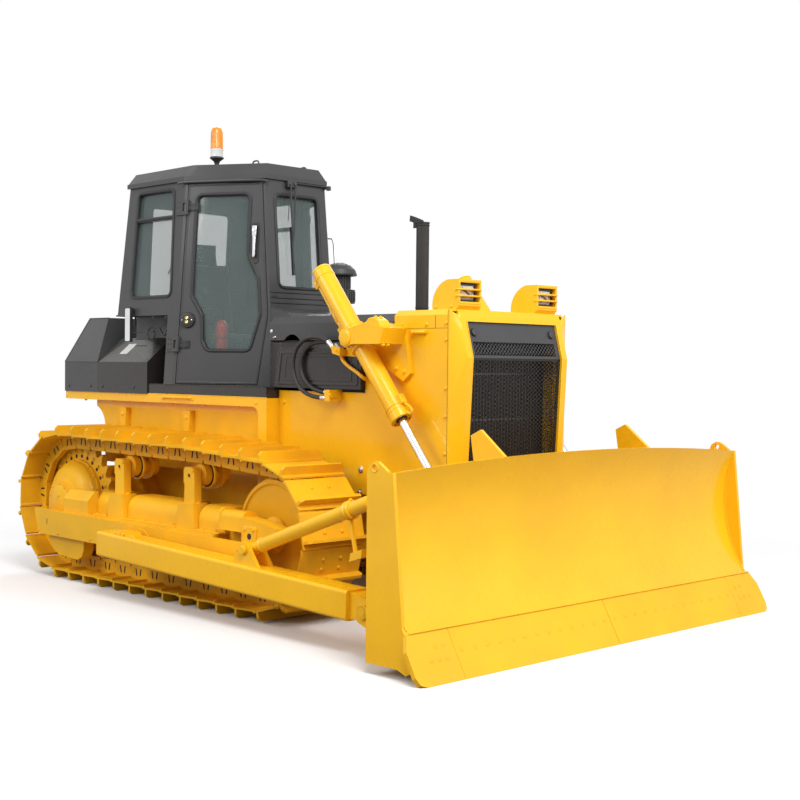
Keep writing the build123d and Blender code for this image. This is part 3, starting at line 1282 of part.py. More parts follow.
for side, which in ((-1, "right"), (1, "left")):
    with BuildPart() as push_arm:
        half = ARM_DEPTH / 2
        beam_axis = axis_plane((ARM_REAR_X, arm_z(ARM_REAR_X)), (ARM_BOX_FRONT_X, arm_z(ARM_BOX_FRONT_X)),
                               side * ARM_Y)
        with BuildSketch(beam_axis) as beam:
            RectangleRounded(ARM_WIDTH, ARM_DEPTH, ARM_CORNER)
        extrude(beam.sketch, amount=ARM_BOX_FRONT_X - ARM_REAR_X)
        side_plate(
            (
                (ARM_BOX_FRONT_X - 20, arm_z(ARM_BOX_FRONT_X) - ARM_NOSE[2]), (ARM_NOSE[0], ARM_PIN[1] - 62),
                (ARM_NOSE[0], ARM_PIN[1] + 62), (ARM_BOX_FRONT_X - 20, arm_z(ARM_BOX_FRONT_X) + ARM_NOSE[2]),
            ),
            span(ARM_Y - ARM_NOSE[1], ARM_Y + ARM_NOSE[1], side),
        )
        disc_y(TRUNNION, BALL_R + FIT, span(ARM_Y - ARM_WIDTH / 2 - 1, ARM_Y + ARM_WIDTH / 2 - 8, side),
               mode=Mode.SUBTRACT)
        # bolted cap over the ball, and its lug
        cap_z = arm_z(TRUNNION[0]) + half
        side_plate(
            (
                (TRUNNION[0] - 110, cap_z - 4), (TRUNNION[0] - 80, cap_z + 22), (TRUNNION[0] + 70, cap_z + 22),
                (TRUNNION[0] + 100, cap_z - 6),
            ),
            span(ARM_Y - 58, ARM_Y + 58, side),
        )
        # front eye
        ear(ARM_PIN, 66, ((ARM_NOSE[0] - 50, ARM_PIN[1] - 60), (ARM_NOSE[0] - 50, ARM_PIN[1] + 60)),
            span(ARM_Y - 55, ARM_Y + 55, side), bore=35)
        disc_y(ARM_PIN, 35, span(ARM_Y - 80, ARM_Y + 80, side), mode=Mode.SUBTRACT)
        # ears that hold the foot of the brace
        base_z = arm_z(BRACE_LOW[0]) + half - 4
        for near, far in ((ARM_Y - 62, ARM_Y - 38), (ARM_Y + 38, ARM_Y + 62)):
            ear(BRACE_LOW, 46, ((BRACE_LOW[0] - 120, base_z), (BRACE_LOW[0] + 130, base_z)),
                span(near, far, side), bore=22)
        if side < 0:
            disc_y(ARM_PIN, 34.7, span(ARM_Y - 118, ARM_Y + 130, side))
        disc_y(BRACE_LOW, 21.5, span(ARM_Y - 72, ARM_Y + 76, side))
        if side > 0:
            with Locations((BRACE_LOW[0], ARM_Y, BRACE_LOW[1])):
                Sphere(FOOT_BALL_R)
    save(push_arm, f"push_arm_{which}")

# screw brace of the right arm, set by its crank handle
with BuildPart() as brace_right:
    along = axis_plane(BRACE_LOW, BRACE_HIGH, -ARM_Y)
    length = hypot(BRACE_HIGH[0] - BRACE_LOW[0], BRACE_HIGH[1] - BRACE_LOW[1])
    with BuildSketch(along.offset(110)) as tube:
        Circle(BRACE_R)
    extrude(tube.sketch, amount=length - 330)
    with BuildSketch(along.offset(30)) as neck:
        Circle(30)
    extrude(neck.sketch, amount=90)
    with BuildSketch(along.offset(length - 230)) as screw:
        Circle(31)
    extrude(screw.sketch, amount=200)
    with BuildSketch(along.offset(length - 420)) as collar:
        Circle(BRACE_R + 9)
    extrude(collar.sketch, amount=46)
    # crank rod that hangs from the collar, with its cross grip
    side_plate(((1650, 800), (1668, 800), (1722, 575), (1704, 572)), (-ARM_Y - 9, -ARM_Y + 9))
    side_plate(((1680, 522), (1690, 572), (1785, 604), (1778, 554)), (-ARM_Y - 20, -ARM_Y + 20))
    disc_y(BRACE_LOW, 42, (-ARM_Y - 36, -ARM_Y + 36))
    disc_y(BRACE_LOW, 22.2, (-ARM_Y - 40, -ARM_Y + 40), mode=Mode.SUBTRACT)
    disc_y(BRACE_HIGH, 48, (-ARM_Y - 25, -ARM_Y + 25))
    disc_y(BRACE_HIGH, 25, (-ARM_Y - 30, -ARM_Y + 30), mode=Mode.SUBTRACT)
    disc_y(BRACE_HIGH, 24.7, (-ARM_Y - 88, -ARM_Y + 88))
save(brace_right, "brace_right")

# tilt cylinder in the brace's place on the left arm
with BuildPart() as tilt_barrel:
    along = axis_plane(BRACE_LOW, BRACE_HIGH, ARM_Y)
    with BuildSketch(along.offset(TILT_BARREL_REAR)) as tube:
        Circle(TILT_BARREL_R)
    extrude(tube.sketch, amount=TILT_BARREL_FRONT - TILT_BARREL_REAR)
    with BuildSketch(along.offset(TILT_BARREL_REAR + 30)) as bore:
        Circle(TILT_BARREL_R - 12)
    extrude(bore.sketch, amount=TILT_BARREL_FRONT - TILT_BARREL_REAR - 70, mode=Mode.SUBTRACT)
    with BuildSketch(along.offset(TILT_BARREL_FRONT - 70)) as gland:
        Circle(TILT_ROD_R + FIT)
    extrude(gland.sketch, amount=90, mode=Mode.SUBTRACT)
    with BuildSketch(along.offset(26)) as neck:
        Circle(30)
    extrude(neck.sketch, amount=TILT_BARREL_REAR)
    disc_y(BRACE_LOW, 46, (ARM_Y - 24, ARM_Y + 24))
    with Locations((BRACE_LOW[0], ARM_Y, BRACE_LOW[1])):
        Sphere(FOOT_BALL_R + FIT, mode=Mode.SUBTRACT)
save(tilt_barrel, "tilt_barrel")

with BuildPart() as tilt_rod:
    back = axis_plane(BRACE_HIGH, BRACE_LOW, ARM_Y)
    with BuildSketch(back.offset(36)) as rod:
        Circle(TILT_ROD_R)
    extrude(rod.sketch, amount=TILT_ROD_LENGTH - 36)
    disc_y(BRACE_HIGH, 48, (ARM_Y - 25, ARM_Y + 25))
    disc_y(BRACE_HIGH, 25, (ARM_Y - 30, ARM_Y + 30), mode=Mode.SUBTRACT)
save(tilt_rod, "tilt_rod")

# ------------------------------------------------------------------ blade
EDGE_TOP = (2418, 250)
EDGE_FOOT = (2560, 0)
EDGE_PLATE = 28
edge_length = hypot(EDGE_FOOT[0] - EDGE_TOP[0], EDGE_FOOT[1] - EDGE_TOP[1])
EDGE_DOWN = ((EDGE_FOOT[0] - EDGE_TOP[0]) / edge_length, (EDGE_FOOT[1] - EDGE_TOP[1]) / edge_length)
EDGE_OUT = (-EDGE_DOWN[1], EDGE_DOWN[0])
EDGE_BACK_TOP = (EDGE_TOP[0] - EDGE_PLATE * EDGE_OUT[0], EDGE_TOP[1] - EDGE_PLATE * EDGE_OUT[1])


def from_edge(down, out):
    """A point measured down the cutting edge's back face and out through the edge."""
    return (EDGE_BACK_TOP[0] + down * EDGE_DOWN[0] + out * EDGE_OUT[0],
            EDGE_BACK_TOP[1] + down * EDGE_DOWN[1] + out * EDGE_OUT[1])


def mold_x(z, radius):
    """X of the moldboard's curve at height z."""
    return MOLD_CENTRE[0] - (radius**2 - (z - MOLD_CENTRE[1]) ** 2) ** 0.5


with BuildPart() as blade:
    back_r = MOLD_R + MOLD_PLATE
    # the curved moldboard
    with BuildSketch(Plane.XZ.offset(-BLADE_HALF)) as curve:
        with BuildLine():
            low, top = 215, 1165
            ThreePointArc((mold_x(low, MOLD_R), low), (mold_x(640, MOLD_R), 640), (mold_x(top, MOLD_R), top))
            Line((mold_x(top, MOLD_R), top), (mold_x(top, back_r), top))
            ThreePointArc((mold_x(top, back_r), top), (mold_x(640, back_r), 640), (mold_x(low, back_r), low))
            Line((mold_x(low, back_r), low), (mold_x(low, MOLD_R), low))
        make_face()
    extrude(curve.sketch, amount=2 * BLADE_HALF)
    # box sections along the back, top and bottom, and the backing under the edge
    for low, top in ((720, 1000), (60, 290)):
        with BuildSketch(Plane.XZ.offset(-BLADE_HALF)) as box:
            with Locations((BLADE_REAR_X, low)):
                Rectangle(220, top - low, align=(Align.MIN, Align.MIN))
            with Locations(MOLD_CENTRE):
                Circle(MOLD_R + MOLD_PLATE / 2, mode=Mode.SUBTRACT)
        extrude(box.sketch, amount=2 * BLADE_HALF)
    side_plate((from_edge(0, 0), from_edge(190, 0), from_edge(190, -30), from_edge(0, -30)),
               (-BLADE_HALF, BLADE_HALF))
    side_plate(((2300, 60), from_edge(190, -30), from_edge(190, 0), (2300, 215)), (-BLADE_HALF, BLADE_HALF))
    # side plates with their lifting ears
    for side in (-1, 1):
        side_plate(
            (
                (BLADE_REAR_X, 151), (BLADE_REAR_X - 2, 1073), (2124, 1112), (2160, 1132), (2190, 1130),
                (2262, 1084), (2303, BLADE_SIDE_TOP), (2387, 225), from_edge(190, 0), (2411, 35),
            ),
            span(BLADE_HALF - 22, BLADE_HALF, side),
        )
    # ribs between the boxes
    for y in (-1000, -350, 350, 1000):
        side_plate(((BLADE_REAR_X + 10, 280), (2240, 280), (2240, 730), (BLADE_REAR_X + 10, 730)), (y - 10, y + 10))
    # cut the crown and clear the cutting edge's seat
    with BuildSketch(Plane.YZ.offset(2000)) as crown:
        with BuildLine():
            Line((-1700, 1300), (-1700, BLADE_SIDE_TOP))
            Line((-1700, BLADE_SIDE_TOP), (-BLADE_HALF + 22, BLADE_SIDE_TOP))
            ThreePointArc((-BLADE_HALF + 22, BLADE_SIDE_TOP), (0, BLADE_CROWN), (BLADE_HALF - 22, BLADE_SIDE_TOP))
            Line((BLADE_HALF - 22, BLADE_SIDE_TOP), (1700, BLADE_SIDE_TOP))
            Line((1700, BLADE_SIDE_TOP), (1700, 1300))
            Line((1700, 1300), (-1700, 1300))
        make_face()
    with BuildPart(mode=Mode.PRIVATE) as above:
        extrude(crown.sketch, amount=500)
        for side in (-1, 1):
            block((2000, 2262), span(BLADE_HALF - 22, BLADE_HALF + 60, side), (1000, 1310), mode=Mode.SUBTRACT)
    add(above.part, mode=Mode.SUBTRACT)
    side_plate((from_edge(0, 0), from_edge(0, 150), from_edge(420, 150), from_edge(420, 0)),
               (-BLADE_HALF - 5, BLADE_HALF + 5), mode=Mode.SUBTRACT)
    # lifting-ear bores
    for side in (-1, 1):
        disc_y((2167, 1097), 17, span(BLADE_HALF - 40, BLADE_HALF + 10, side), mode=Mode.SUBTRACT)
    # horn plates above the top box
    for side in (-1, 1):
        side_plate(
            ((2125, 990), (2018, 1085), (1993, 1234), (2067, 1270), (2253, 1125), (2258, 990)),
            span(690, 715, side),
        )
    # ears for the lift rods, the push arms and the braces
    for side in (-1, 1):
        gap = 35 + LIFT_EAR_GAP
        for near, far in ((LIFT_Y - gap - 30, LIFT_Y - gap), (LIFT_Y + gap, LIFT_Y + gap + 30)):
            ear(LIFT_PIN, 68, ((2225, 655), (2300, 320)), span(near, far, side), bore=32)
        gap = 55 + ARM_EAR_GAP
        for near, far in ((ARM_Y - gap - 28, ARM_Y - gap), (ARM_Y + gap, ARM_Y + gap + 28)):
            ear(ARM_PIN, 76, ((2130, 345), (2130, 130)), span(near, far, side), bore=35)
        gap = 25 + BRACE_EAR_GAP
        for near, far in ((ARM_Y - gap - 24, ARM_Y - gap), (ARM_Y + gap, ARM_Y + gap + 24)):
            ear(BRACE_HIGH, 58, ((2120, 985), (2120, 780)), span(near, far, side), bore=25)
save(blade, "blade")

EDGE_SEAM = 1349
EDGE_PLANE = Plane(origin=(EDGE_FOOT[0], 0, EDGE_FOOT[1]), x_dir=(0, 1, 0), z_dir=(EDGE_OUT[0], 0, EDGE_OUT[1]))
with BuildPart() as cutting_edge:
    with BuildSketch(EDGE_PLANE) as strips:
        for low, high in ((-EDGE_SEAM + 2, -2), (2, EDGE_SEAM - 2)):
            with Locations(((low + high) / 2, edge_length / 2)):
                Rectangle(high - low, edge_length)
        for side in (-1, 1):
            with BuildLine():
                Polyline(
                    (side * EDGE_SEAM, 0), (side * (EDGE_HALF - 60), 0), (side * (EDGE_HALF - 18), 18),
                    (side * EDGE_HALF, 60), (side * EDGE_HALF, 200), (side * (BLADE_HALF + 3), edge_length),
                    (side * EDGE_SEAM, edge_length), close=True,
                )
            make_face()
    extrude(strips.sketch, amount=-EDGE_PLATE)
    block((2300, 2700), (-1800, 1800), (-60, 0), mode=Mode.SUBTRACT)
save(cutting_edge, "cutting_edge")
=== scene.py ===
import math

import bmesh
import bpy
from mathutils import Matrix, Vector


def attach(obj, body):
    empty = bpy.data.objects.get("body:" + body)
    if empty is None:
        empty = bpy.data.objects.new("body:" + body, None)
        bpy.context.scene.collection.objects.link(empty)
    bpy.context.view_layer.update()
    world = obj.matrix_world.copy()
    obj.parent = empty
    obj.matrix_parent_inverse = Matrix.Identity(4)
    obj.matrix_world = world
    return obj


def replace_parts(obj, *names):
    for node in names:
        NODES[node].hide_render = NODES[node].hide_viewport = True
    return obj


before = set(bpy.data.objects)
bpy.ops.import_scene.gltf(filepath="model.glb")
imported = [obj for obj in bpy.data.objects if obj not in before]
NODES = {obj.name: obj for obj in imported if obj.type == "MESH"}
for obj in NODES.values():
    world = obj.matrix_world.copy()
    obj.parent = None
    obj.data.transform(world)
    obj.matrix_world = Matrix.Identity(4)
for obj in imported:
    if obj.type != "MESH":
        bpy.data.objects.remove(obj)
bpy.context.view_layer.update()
SIDES = ((-1, "right"), (1, "left"))
MM = 0.001
METRE = 1000


# ------------------------------------------------------------------ camera, floor and light
def place_camera(location, yaw, pitch, roll, lens):
    """A camera from its place and angles in radians, yaw from +X towards +Y."""
    ahead = Vector((math.cos(pitch) * math.cos(yaw), math.cos(pitch) * math.sin(yaw), math.sin(pitch)))
    level = Vector((math.sin(yaw), -math.cos(yaw), 0))
    above = level.cross(ahead)
    right = level * math.cos(roll) + above * math.sin(roll)
    up = above * math.cos(roll) - level * math.sin(roll)
    data = bpy.data.cameras.new("camera")
    data.lens = lens
    data.sensor_width = 36
    data.clip_end = 200
    camera = bpy.data.objects.new("camera", data)
    bpy.context.scene.collection.objects.link(camera)
    turn = Matrix((right, up, -ahead)).transposed().to_4x4()
    camera.matrix_world = Matrix.Translation(location) @ turn
    bpy.context.scene.camera = camera


place_camera((7.354, -6.582, 1.632), yaw=2.3633, pitch=-0.0246, roll=0.0106, lens=61.3)


class Graph:
    """The shader nodes of a material or of the world, with short ways to add to them."""

    def __init__(self, tree):
        self.tree = tree

    def feed(self, socket, value):
        """Links a socket to an input, or sets the input to a value; a colour gets its fourth number."""
        if isinstance(value, bpy.types.NodeSocket):
            self.tree.links.new(value, socket)
        else:
            socket.default_value = (*value, 1) if socket.type == "RGBA" else value

    def add(self, kind, inputs=None, **attributes):
        """A new node, with its attributes set and then its inputs fed."""
        node = self.tree.nodes.new("ShaderNode" + kind)
        for key, value in attributes.items():
            setattr(node, key, value)
        for key, value in (inputs or {}).items():
            self.feed(node.inputs[key], value)
        return node

    def place(self):
        """Places in the object's own metres."""
        return self.add("TexCoord").outputs["Object"]

    def noise(self, scale, detail, stretch=None):
        """A noise texture in object metres, stretched along an axis if asked."""
        place = self.place()
        if stretch:
            place = self.add("Mapping", {"Scale": stretch, "Vector": place}).outputs["Vector"]
        inputs = {"Scale": scale, "Detail": detail, "Roughness": 0.55, "Vector": place}
        return self.add("TexNoise", inputs).outputs["Fac"]

    def ramp(self, factor, *stops):
        """A colour ramp from two (position, colour) stops."""
        ramp = self.add("ValToRGB", {"Fac": factor})
        for element, (position, colour) in zip(ramp.color_ramp.elements, stops):
            element.position = position
            element.color = (*colour, 1)
        return ramp.outputs["Color"]

    def mix(self, factor, a, b, blend="MIX"):
        """A colour mix; a, b and the factor are sockets or values."""
        return self.add("Mix", {"Factor": factor, 6: a, 7: b}, data_type="RGBA", blend_type=blend).outputs[2]

    def spread(self, noise, low, high):
        """Stretches a noise, most of which lies between 0.3 and 0.7, over low to high."""
        inputs = {"Value": noise, "From Min": 0.3, "From Max": 0.7, "To Min": low, "To Max": high}
        return self.add("MapRange", inputs).outputs["Result"]

    def bump(self, height, strength, distance):
        """A normal bumped by a height."""
        return self.add("Bump", {"Strength": strength, "Distance": distance, "Height": height}).outputs["Normal"]

    def white_for(self, rays):
        """1 where a ray of one of the named kinds arrives, else 0."""
        path = self.add("LightPath")
        total = path.outputs[rays[0]]
        for ray in rays[1:]:
            total = self.add("Math", {0: total, 1: path.outputs[ray]}, operation="MAXIMUM").outputs[0]
        return total


class Look(Graph):
    """A new material and its graph."""

    def __init__(self, name):
        self.material = bpy.data.materials.new(name)
        self.material.use_nodes = True
        super().__init__(self.material.node_tree)
        self.shader = self.tree.nodes["Principled BSDF"]

    def set(self, inputs):
        """Feeds the Principled shader's inputs and gives the material."""
        for key, value in inputs.items():
            self.feed(self.shader.inputs[key], value)
        return self.material


def lamp(name, location, aim, size, power):
    """A square white area lamp pointed at aim: its side in metres, its power in watts."""
    data = bpy.data.lights.new(name, "AREA")
    data.size = size
    data.energy = power
    light = bpy.data.objects.new(name, data)
    bpy.context.scene.collection.objects.link(light)
    light.location = location
    light.rotation_euler = (Vector(aim) - Vector(location)).to_track_quat("-Z", "Y").to_euler()


PLAIN_RAYS = ("Is Camera Ray", "Is Transmission Ray")
BRIGHT_RAYS = (*PLAIN_RAYS, "Is Glossy Ray")
WHITE = (1, 1, 1)
FLOOR_LIT = (0.30, 0.29, 0.28)  # what the floor sends back onto the machine
FLOOR_SEEN = (0.93, 0.93, 0.935)
FADE_FROM, FADE_TO = 2.6, 6.0  # metres from the machine, where the floor goes over to white
FILL_COLOUR, FILL_STRENGTH = (0.97, 0.98, 1.0), 0.46
LAMPS = (  # name, place, aim, size, power
    ("key", (6.5, -4.0, 8.5), (0, -0.5, 0.8), 4.0, 700),
    ("front", (9.5, 2.5, 5.0), (1.5, 0, 0.8), 4.5, 360),
    ("side", (-3.0, -9.5, 6.5), (-0.5, 0, 1.0), 5.0, 470),
    ("back", (-6.0, 6.0, 7.0), (0, 0, 1.5), 6.0, 340),
)


def studio():
    """A pale floor that fades to white, a white surround and four soft lamps."""
    bpy.ops.mesh.primitive_plane_add(size=120, location=(0, 0, -0.001))
    floor = bpy.context.object
    floor.name = "floor"
    look = Look("floor_white")
    seen = look.mix(look.white_for(PLAIN_RAYS), FLOOR_LIT, FLOOR_SEEN)
    look.set({"Base Color": seen, "Roughness": 0.9, "Specular IOR Level": 0.05})
    glow = look.add("Emission", {"Color": WHITE})
    length = look.add("VectorMath", {0: look.place()}, operation="LENGTH").outputs["Value"]
    fade = look.add("MapRange", {"From Min": FADE_FROM, "From Max": FADE_TO, "Value": length},
                    interpolation_type="SMOOTHSTEP").outputs["Result"]
    shown = look.add("Math", {0: fade, 1: look.white_for(BRIGHT_RAYS)}, operation="MULTIPLY").outputs[0]
    blend = look.add("MixShader", {"Fac": shown, 1: look.shader.outputs[0], 2: glow.outputs[0]})
    look.feed(look.tree.nodes["Material Output"].inputs["Surface"], blend.outputs[0])
    floor.data.materials.append(look.material)

    world = bpy.context.scene.world or bpy.data.worlds.new("surround")
    bpy.context.scene.world = world
    world.use_nodes = True
    world.node_tree.nodes.clear()
    sky = Graph(world.node_tree)
    seen = sky.add("Background", {"Strength": 1.0, "Color": WHITE})
    fill = sky.add("Background", {"Strength": FILL_STRENGTH, "Color": FILL_COLOUR})
    both = sky.add("MixShader", {"Fac": sky.white_for(BRIGHT_RAYS), 1: fill.outputs[0], 2: seen.outputs[0]})
    sky.add("OutputWorld", {"Surface": both.outputs[0]})

    for row in LAMPS:
        lamp(*row)
    bpy.context.scene.view_settings.view_transform = "Standard"


studio()


# ------------------------------------------------------------------ materials
def shade(colour, by):
    """A colour multiplied by a number."""
    return tuple(min(1.0, c * by) for c in colour)


def paint(name, colour, rough, coat, peel=0.05, vary=0.08, dust=None, dust_amount=0.0):
    """Sprayed paint: slow colour drift, orange peel, uneven gloss and some settled dust."""
    look = Look(name)
    mottled = look.ramp(look.noise(1.7, 3.0), (0.3, shade(colour, 1 - vary)), (0.7, shade(colour, 1 + vary * 0.5)))
    if dust:
        mottled = look.mix(look.spread(look.noise(6.0, 6.0), 0.0, dust_amount), mottled, dust)
    return look.set({
        "Base Color": mottled, "Roughness": look.spread(look.noise(23.0, 4.0), *rough),
        "Coat Weight": coat, "Coat Roughness": 0.1, "Coat IOR": 1.45, "Specular IOR Level": 0.22,
        "Normal": look.bump(look.noise(420.0, 2.0), peel, 0.001),
    })


def metal(name, colour, rough, grain, stretch=(1, 1, 60), strength=0.08):
    """Bare metal with drawn or turned grain."""
    look = Look(name)
    grainy = look.noise(grain, 5.0, stretch)
    return look.set({
        "Base Color": look.ramp(grainy, (0.3, shade(colour, 0.85)), (0.7, colour)), "Metallic": 1.0,
        "Roughness": look.spread(grainy, *rough), "Normal": look.bump(grainy, strength, 0.0005),
    })


def plastic(name, colour, rough, pebble=600.0, strength=0.15):
    """Moulded plastic or rubber with a fine pebbled face."""
    look = Look(name)
    drift = look.noise(9.0, 4.0)
    return look.set({
        "Base Color": look.ramp(drift, (0.3, shade(colour, 0.8)), (0.7, shade(colour, 1.15))),
        "Roughness": look.spread(drift, *rough), "Normal": look.bump(look.noise(pebble, 2.0), strength, 0.0006),
    })


def window_glass(name, tint, opacity):
    """Thin tinted glass: a see-through sheet with a clear reflection and faint dust."""
    look = Look(name)
    film = look.noise(3.0, 6.0)
    return look.set({
        "Base Color": look.ramp(film, (0.35, tint), (0.8, shade(tint, 1.3))), "Alpha": opacity,
        "Roughness": look.spread(film, 0.02, 0.07), "Specular IOR Level": 0.9,
    })


def cloth(name, colour):
    """Woven seat cloth: crossed threads, fuzzy sheen."""
    look = Look(name)
    across, along = (
        look.add("TexWave", {"Scale": 160.0, "Distortion": 0.6, "Vector": look.place()}, wave_type="BANDS",
                 bands_direction=axis).outputs["Color"]
        for axis in "XZ"
    )
    height = look.mix(0.5, across, along, "ADD")
    tone = look.ramp(look.noise(12.0, 6.0), (0.3, shade(colour, 0.75)), (0.7, shade(colour, 1.25)))
    return look.set({
        "Base Color": look.mix(0.35, tone, height, "MULTIPLY"), "Roughness": 0.85, "Sheen Weight": 0.4,
        "Normal": look.bump(height, 0.35, 0.0008),
    })


YELLOW = (0.98, 0.52, 0.008)
GREY = (0.058, 0.058, 0.06)
BLACK = (0.024, 0.021, 0.019)
EVEN = (1, 1, 1)
M = {
    "yellow": paint("yellow_enamel", YELLOW, (0.24, 0.36), 0.3, dust=(0.55, 0.30, 0.05), dust_amount=0.05),
    "yellow_rough": paint("yellow_frame_enamel", shade(YELLOW, 0.96), (0.42, 0.58), 0.1, 0.12, 0.12,
                          (0.42, 0.24, 0.08), 0.16),
    "track": paint("yellow_track_enamel", shade(YELLOW, 0.93), (0.45, 0.62), 0.05, 0.18, 0.14,
                   (0.33, 0.17, 0.06), 0.22),
    "edge": paint("yellow_edge_enamel", shade(YELLOW, 0.98), (0.36, 0.5), 0.12, 0.1, 0.1, (0.5, 0.3, 0.1), 0.08),
    "grey": paint("cab_grey_enamel", GREY, (0.34, 0.46), 0.2, 0.08, 0.1, (0.12, 0.12, 0.12), 0.05),
    "black": paint("gloss_black_enamel", BLACK, (0.22, 0.34), 0.4, 0.06, 0.12, (0.07, 0.06, 0.055), 0.08),
    "mesh": paint("grille_black", shade(BLACK, 0.8), (0.4, 0.55), 0.05, 0.05, 0.1),
    "chrome": metal("chromed_rod", (0.82, 0.83, 0.85), (0.06, 0.14), grain=30.0, strength=0.03),
    "zinc": metal("plated_steel", (0.72, 0.72, 0.7), (0.22, 0.36), 90.0, EVEN),
    "dark_steel": metal("oiled_steel", (0.16, 0.15, 0.14), (0.35, 0.5), 60.0, EVEN),
    "stack": paint("heat_black", (0.03, 0.029, 0.028), (0.45, 0.6), 0.0, 0.2, 0.15, (0.08, 0.07, 0.06), 0.15),
    "plastic": plastic("black_moulding", (0.028, 0.028, 0.03), (0.4, 0.55)),
    "rubber": plastic("hose_rubber", (0.016, 0.015, 0.015), (0.5, 0.65), 900.0, 0.25),
    "gasket": plastic("window_rubber", (0.012, 0.012, 0.013), (0.45, 0.6), 500.0, 0.1),
    "glass": window_glass("tinted_glass", (0.16, 0.22, 0.21), 0.26),
    "lens": window_glass("lamp_lens", (0.75, 0.78, 0.8), 0.35),
    "cloth": cloth("seat_cloth", (0.03, 0.031, 0.033)),
    "amber": plastic("amber_lens", (0.95, 0.30, 0.01), (0.12, 0.2), 200.0, 0.05),
    "red": paint("extinguisher_red", (0.5, 0.012, 0.012), (0.2, 0.3), 0.4, 0.02, 0.05),
    "brass": metal("brass_lock", (0.72, 0.5, 0.16), (0.2, 0.32), 80.0, EVEN),
    # near-black inlays: painted shade in the track's slots and windows, and the panel seams' dark joints
    "hole": plastic("shadow_slot", (0.012, 0.008, 0.005), (0.7, 0.85), 300.0, 0.05),
    # warm near-black inlays that paint the shade in recesses, grooves and holes
    "groove": plastic("recess_shade_inlay", (0.02, 0.012, 0.007), (0.6, 0.8), 300.0, 0.05),
    "panel": paint("grille_plate", (0.058, 0.058, 0.062), (0.4, 0.52), 0.1, 0.1, 0.1),
    "label": paint("blank_label", (0.75, 0.74, 0.7), (0.35, 0.45), 0.1, 0.02, 0.05),
    "mirror": metal("mirror_face", (0.8, 0.82, 0.84), (0.02, 0.05), 5.0, EVEN, 0.01),
    "white": plastic("white_moulding", (0.8, 0.8, 0.78), (0.35, 0.5), 300.0, 0.05),
}


# ------------------------------------------------------------------ mesh code, in millimetres
def frame_at(origin, out, across=(0, 1, 0)):
    """A frame (u, v, w) at origin, in mm: w runs along out, u as near to across as it can."""
    w = Vector(out).normalized()
    u = Vector(across).normalized()
    if abs(u.dot(w)) > 0.99:
        u = Vector((1, 0, 0)) if abs(w.x) < 0.9 else Vector((0, 0, 1))
    u = (u - w * u.dot(w)).normalized()
    v = w.cross(u)
    matrix = Matrix((u, v, w)).transposed().to_4x4()
    matrix.translation = Vector(origin)
    return matrix


def front_frame(x, y, z):
    """A frame that looks forward: u to the left, v up, w ahead."""
    return frame_at((x, y, z), (1, 0, 0))


def back_frame(x, y, z):
    """A frame that looks back: u to the left, w behind."""
    return frame_at((x, y, z), (-1, 0, 0))


def standing(x, y=0):
    """A frame on the ground that looks up: u forward, w the height."""
    return frame_at((x, y, 0), (0, 0, 1), (1, 0, 0))


def top_frame(x, y, z):
    """A frame that looks up: u to the left, w up."""
    return frame_at((x, y, z), (0, 0, 1))


def side_frame(x, y, z):
    """A frame on a side face: u forward, v up on the right side, w out from the machine's middle."""
    return frame_at((x, y, z), (0, 1 if y > 0 else -1, 0), (1, 0, 0))


def wheel_frame(x, y, z, r, t):
    """A side frame at angle t on a circle of radius r about (x, z)."""
    return side_frame(x + r * math.cos(t), y, z + r * math.sin(t))


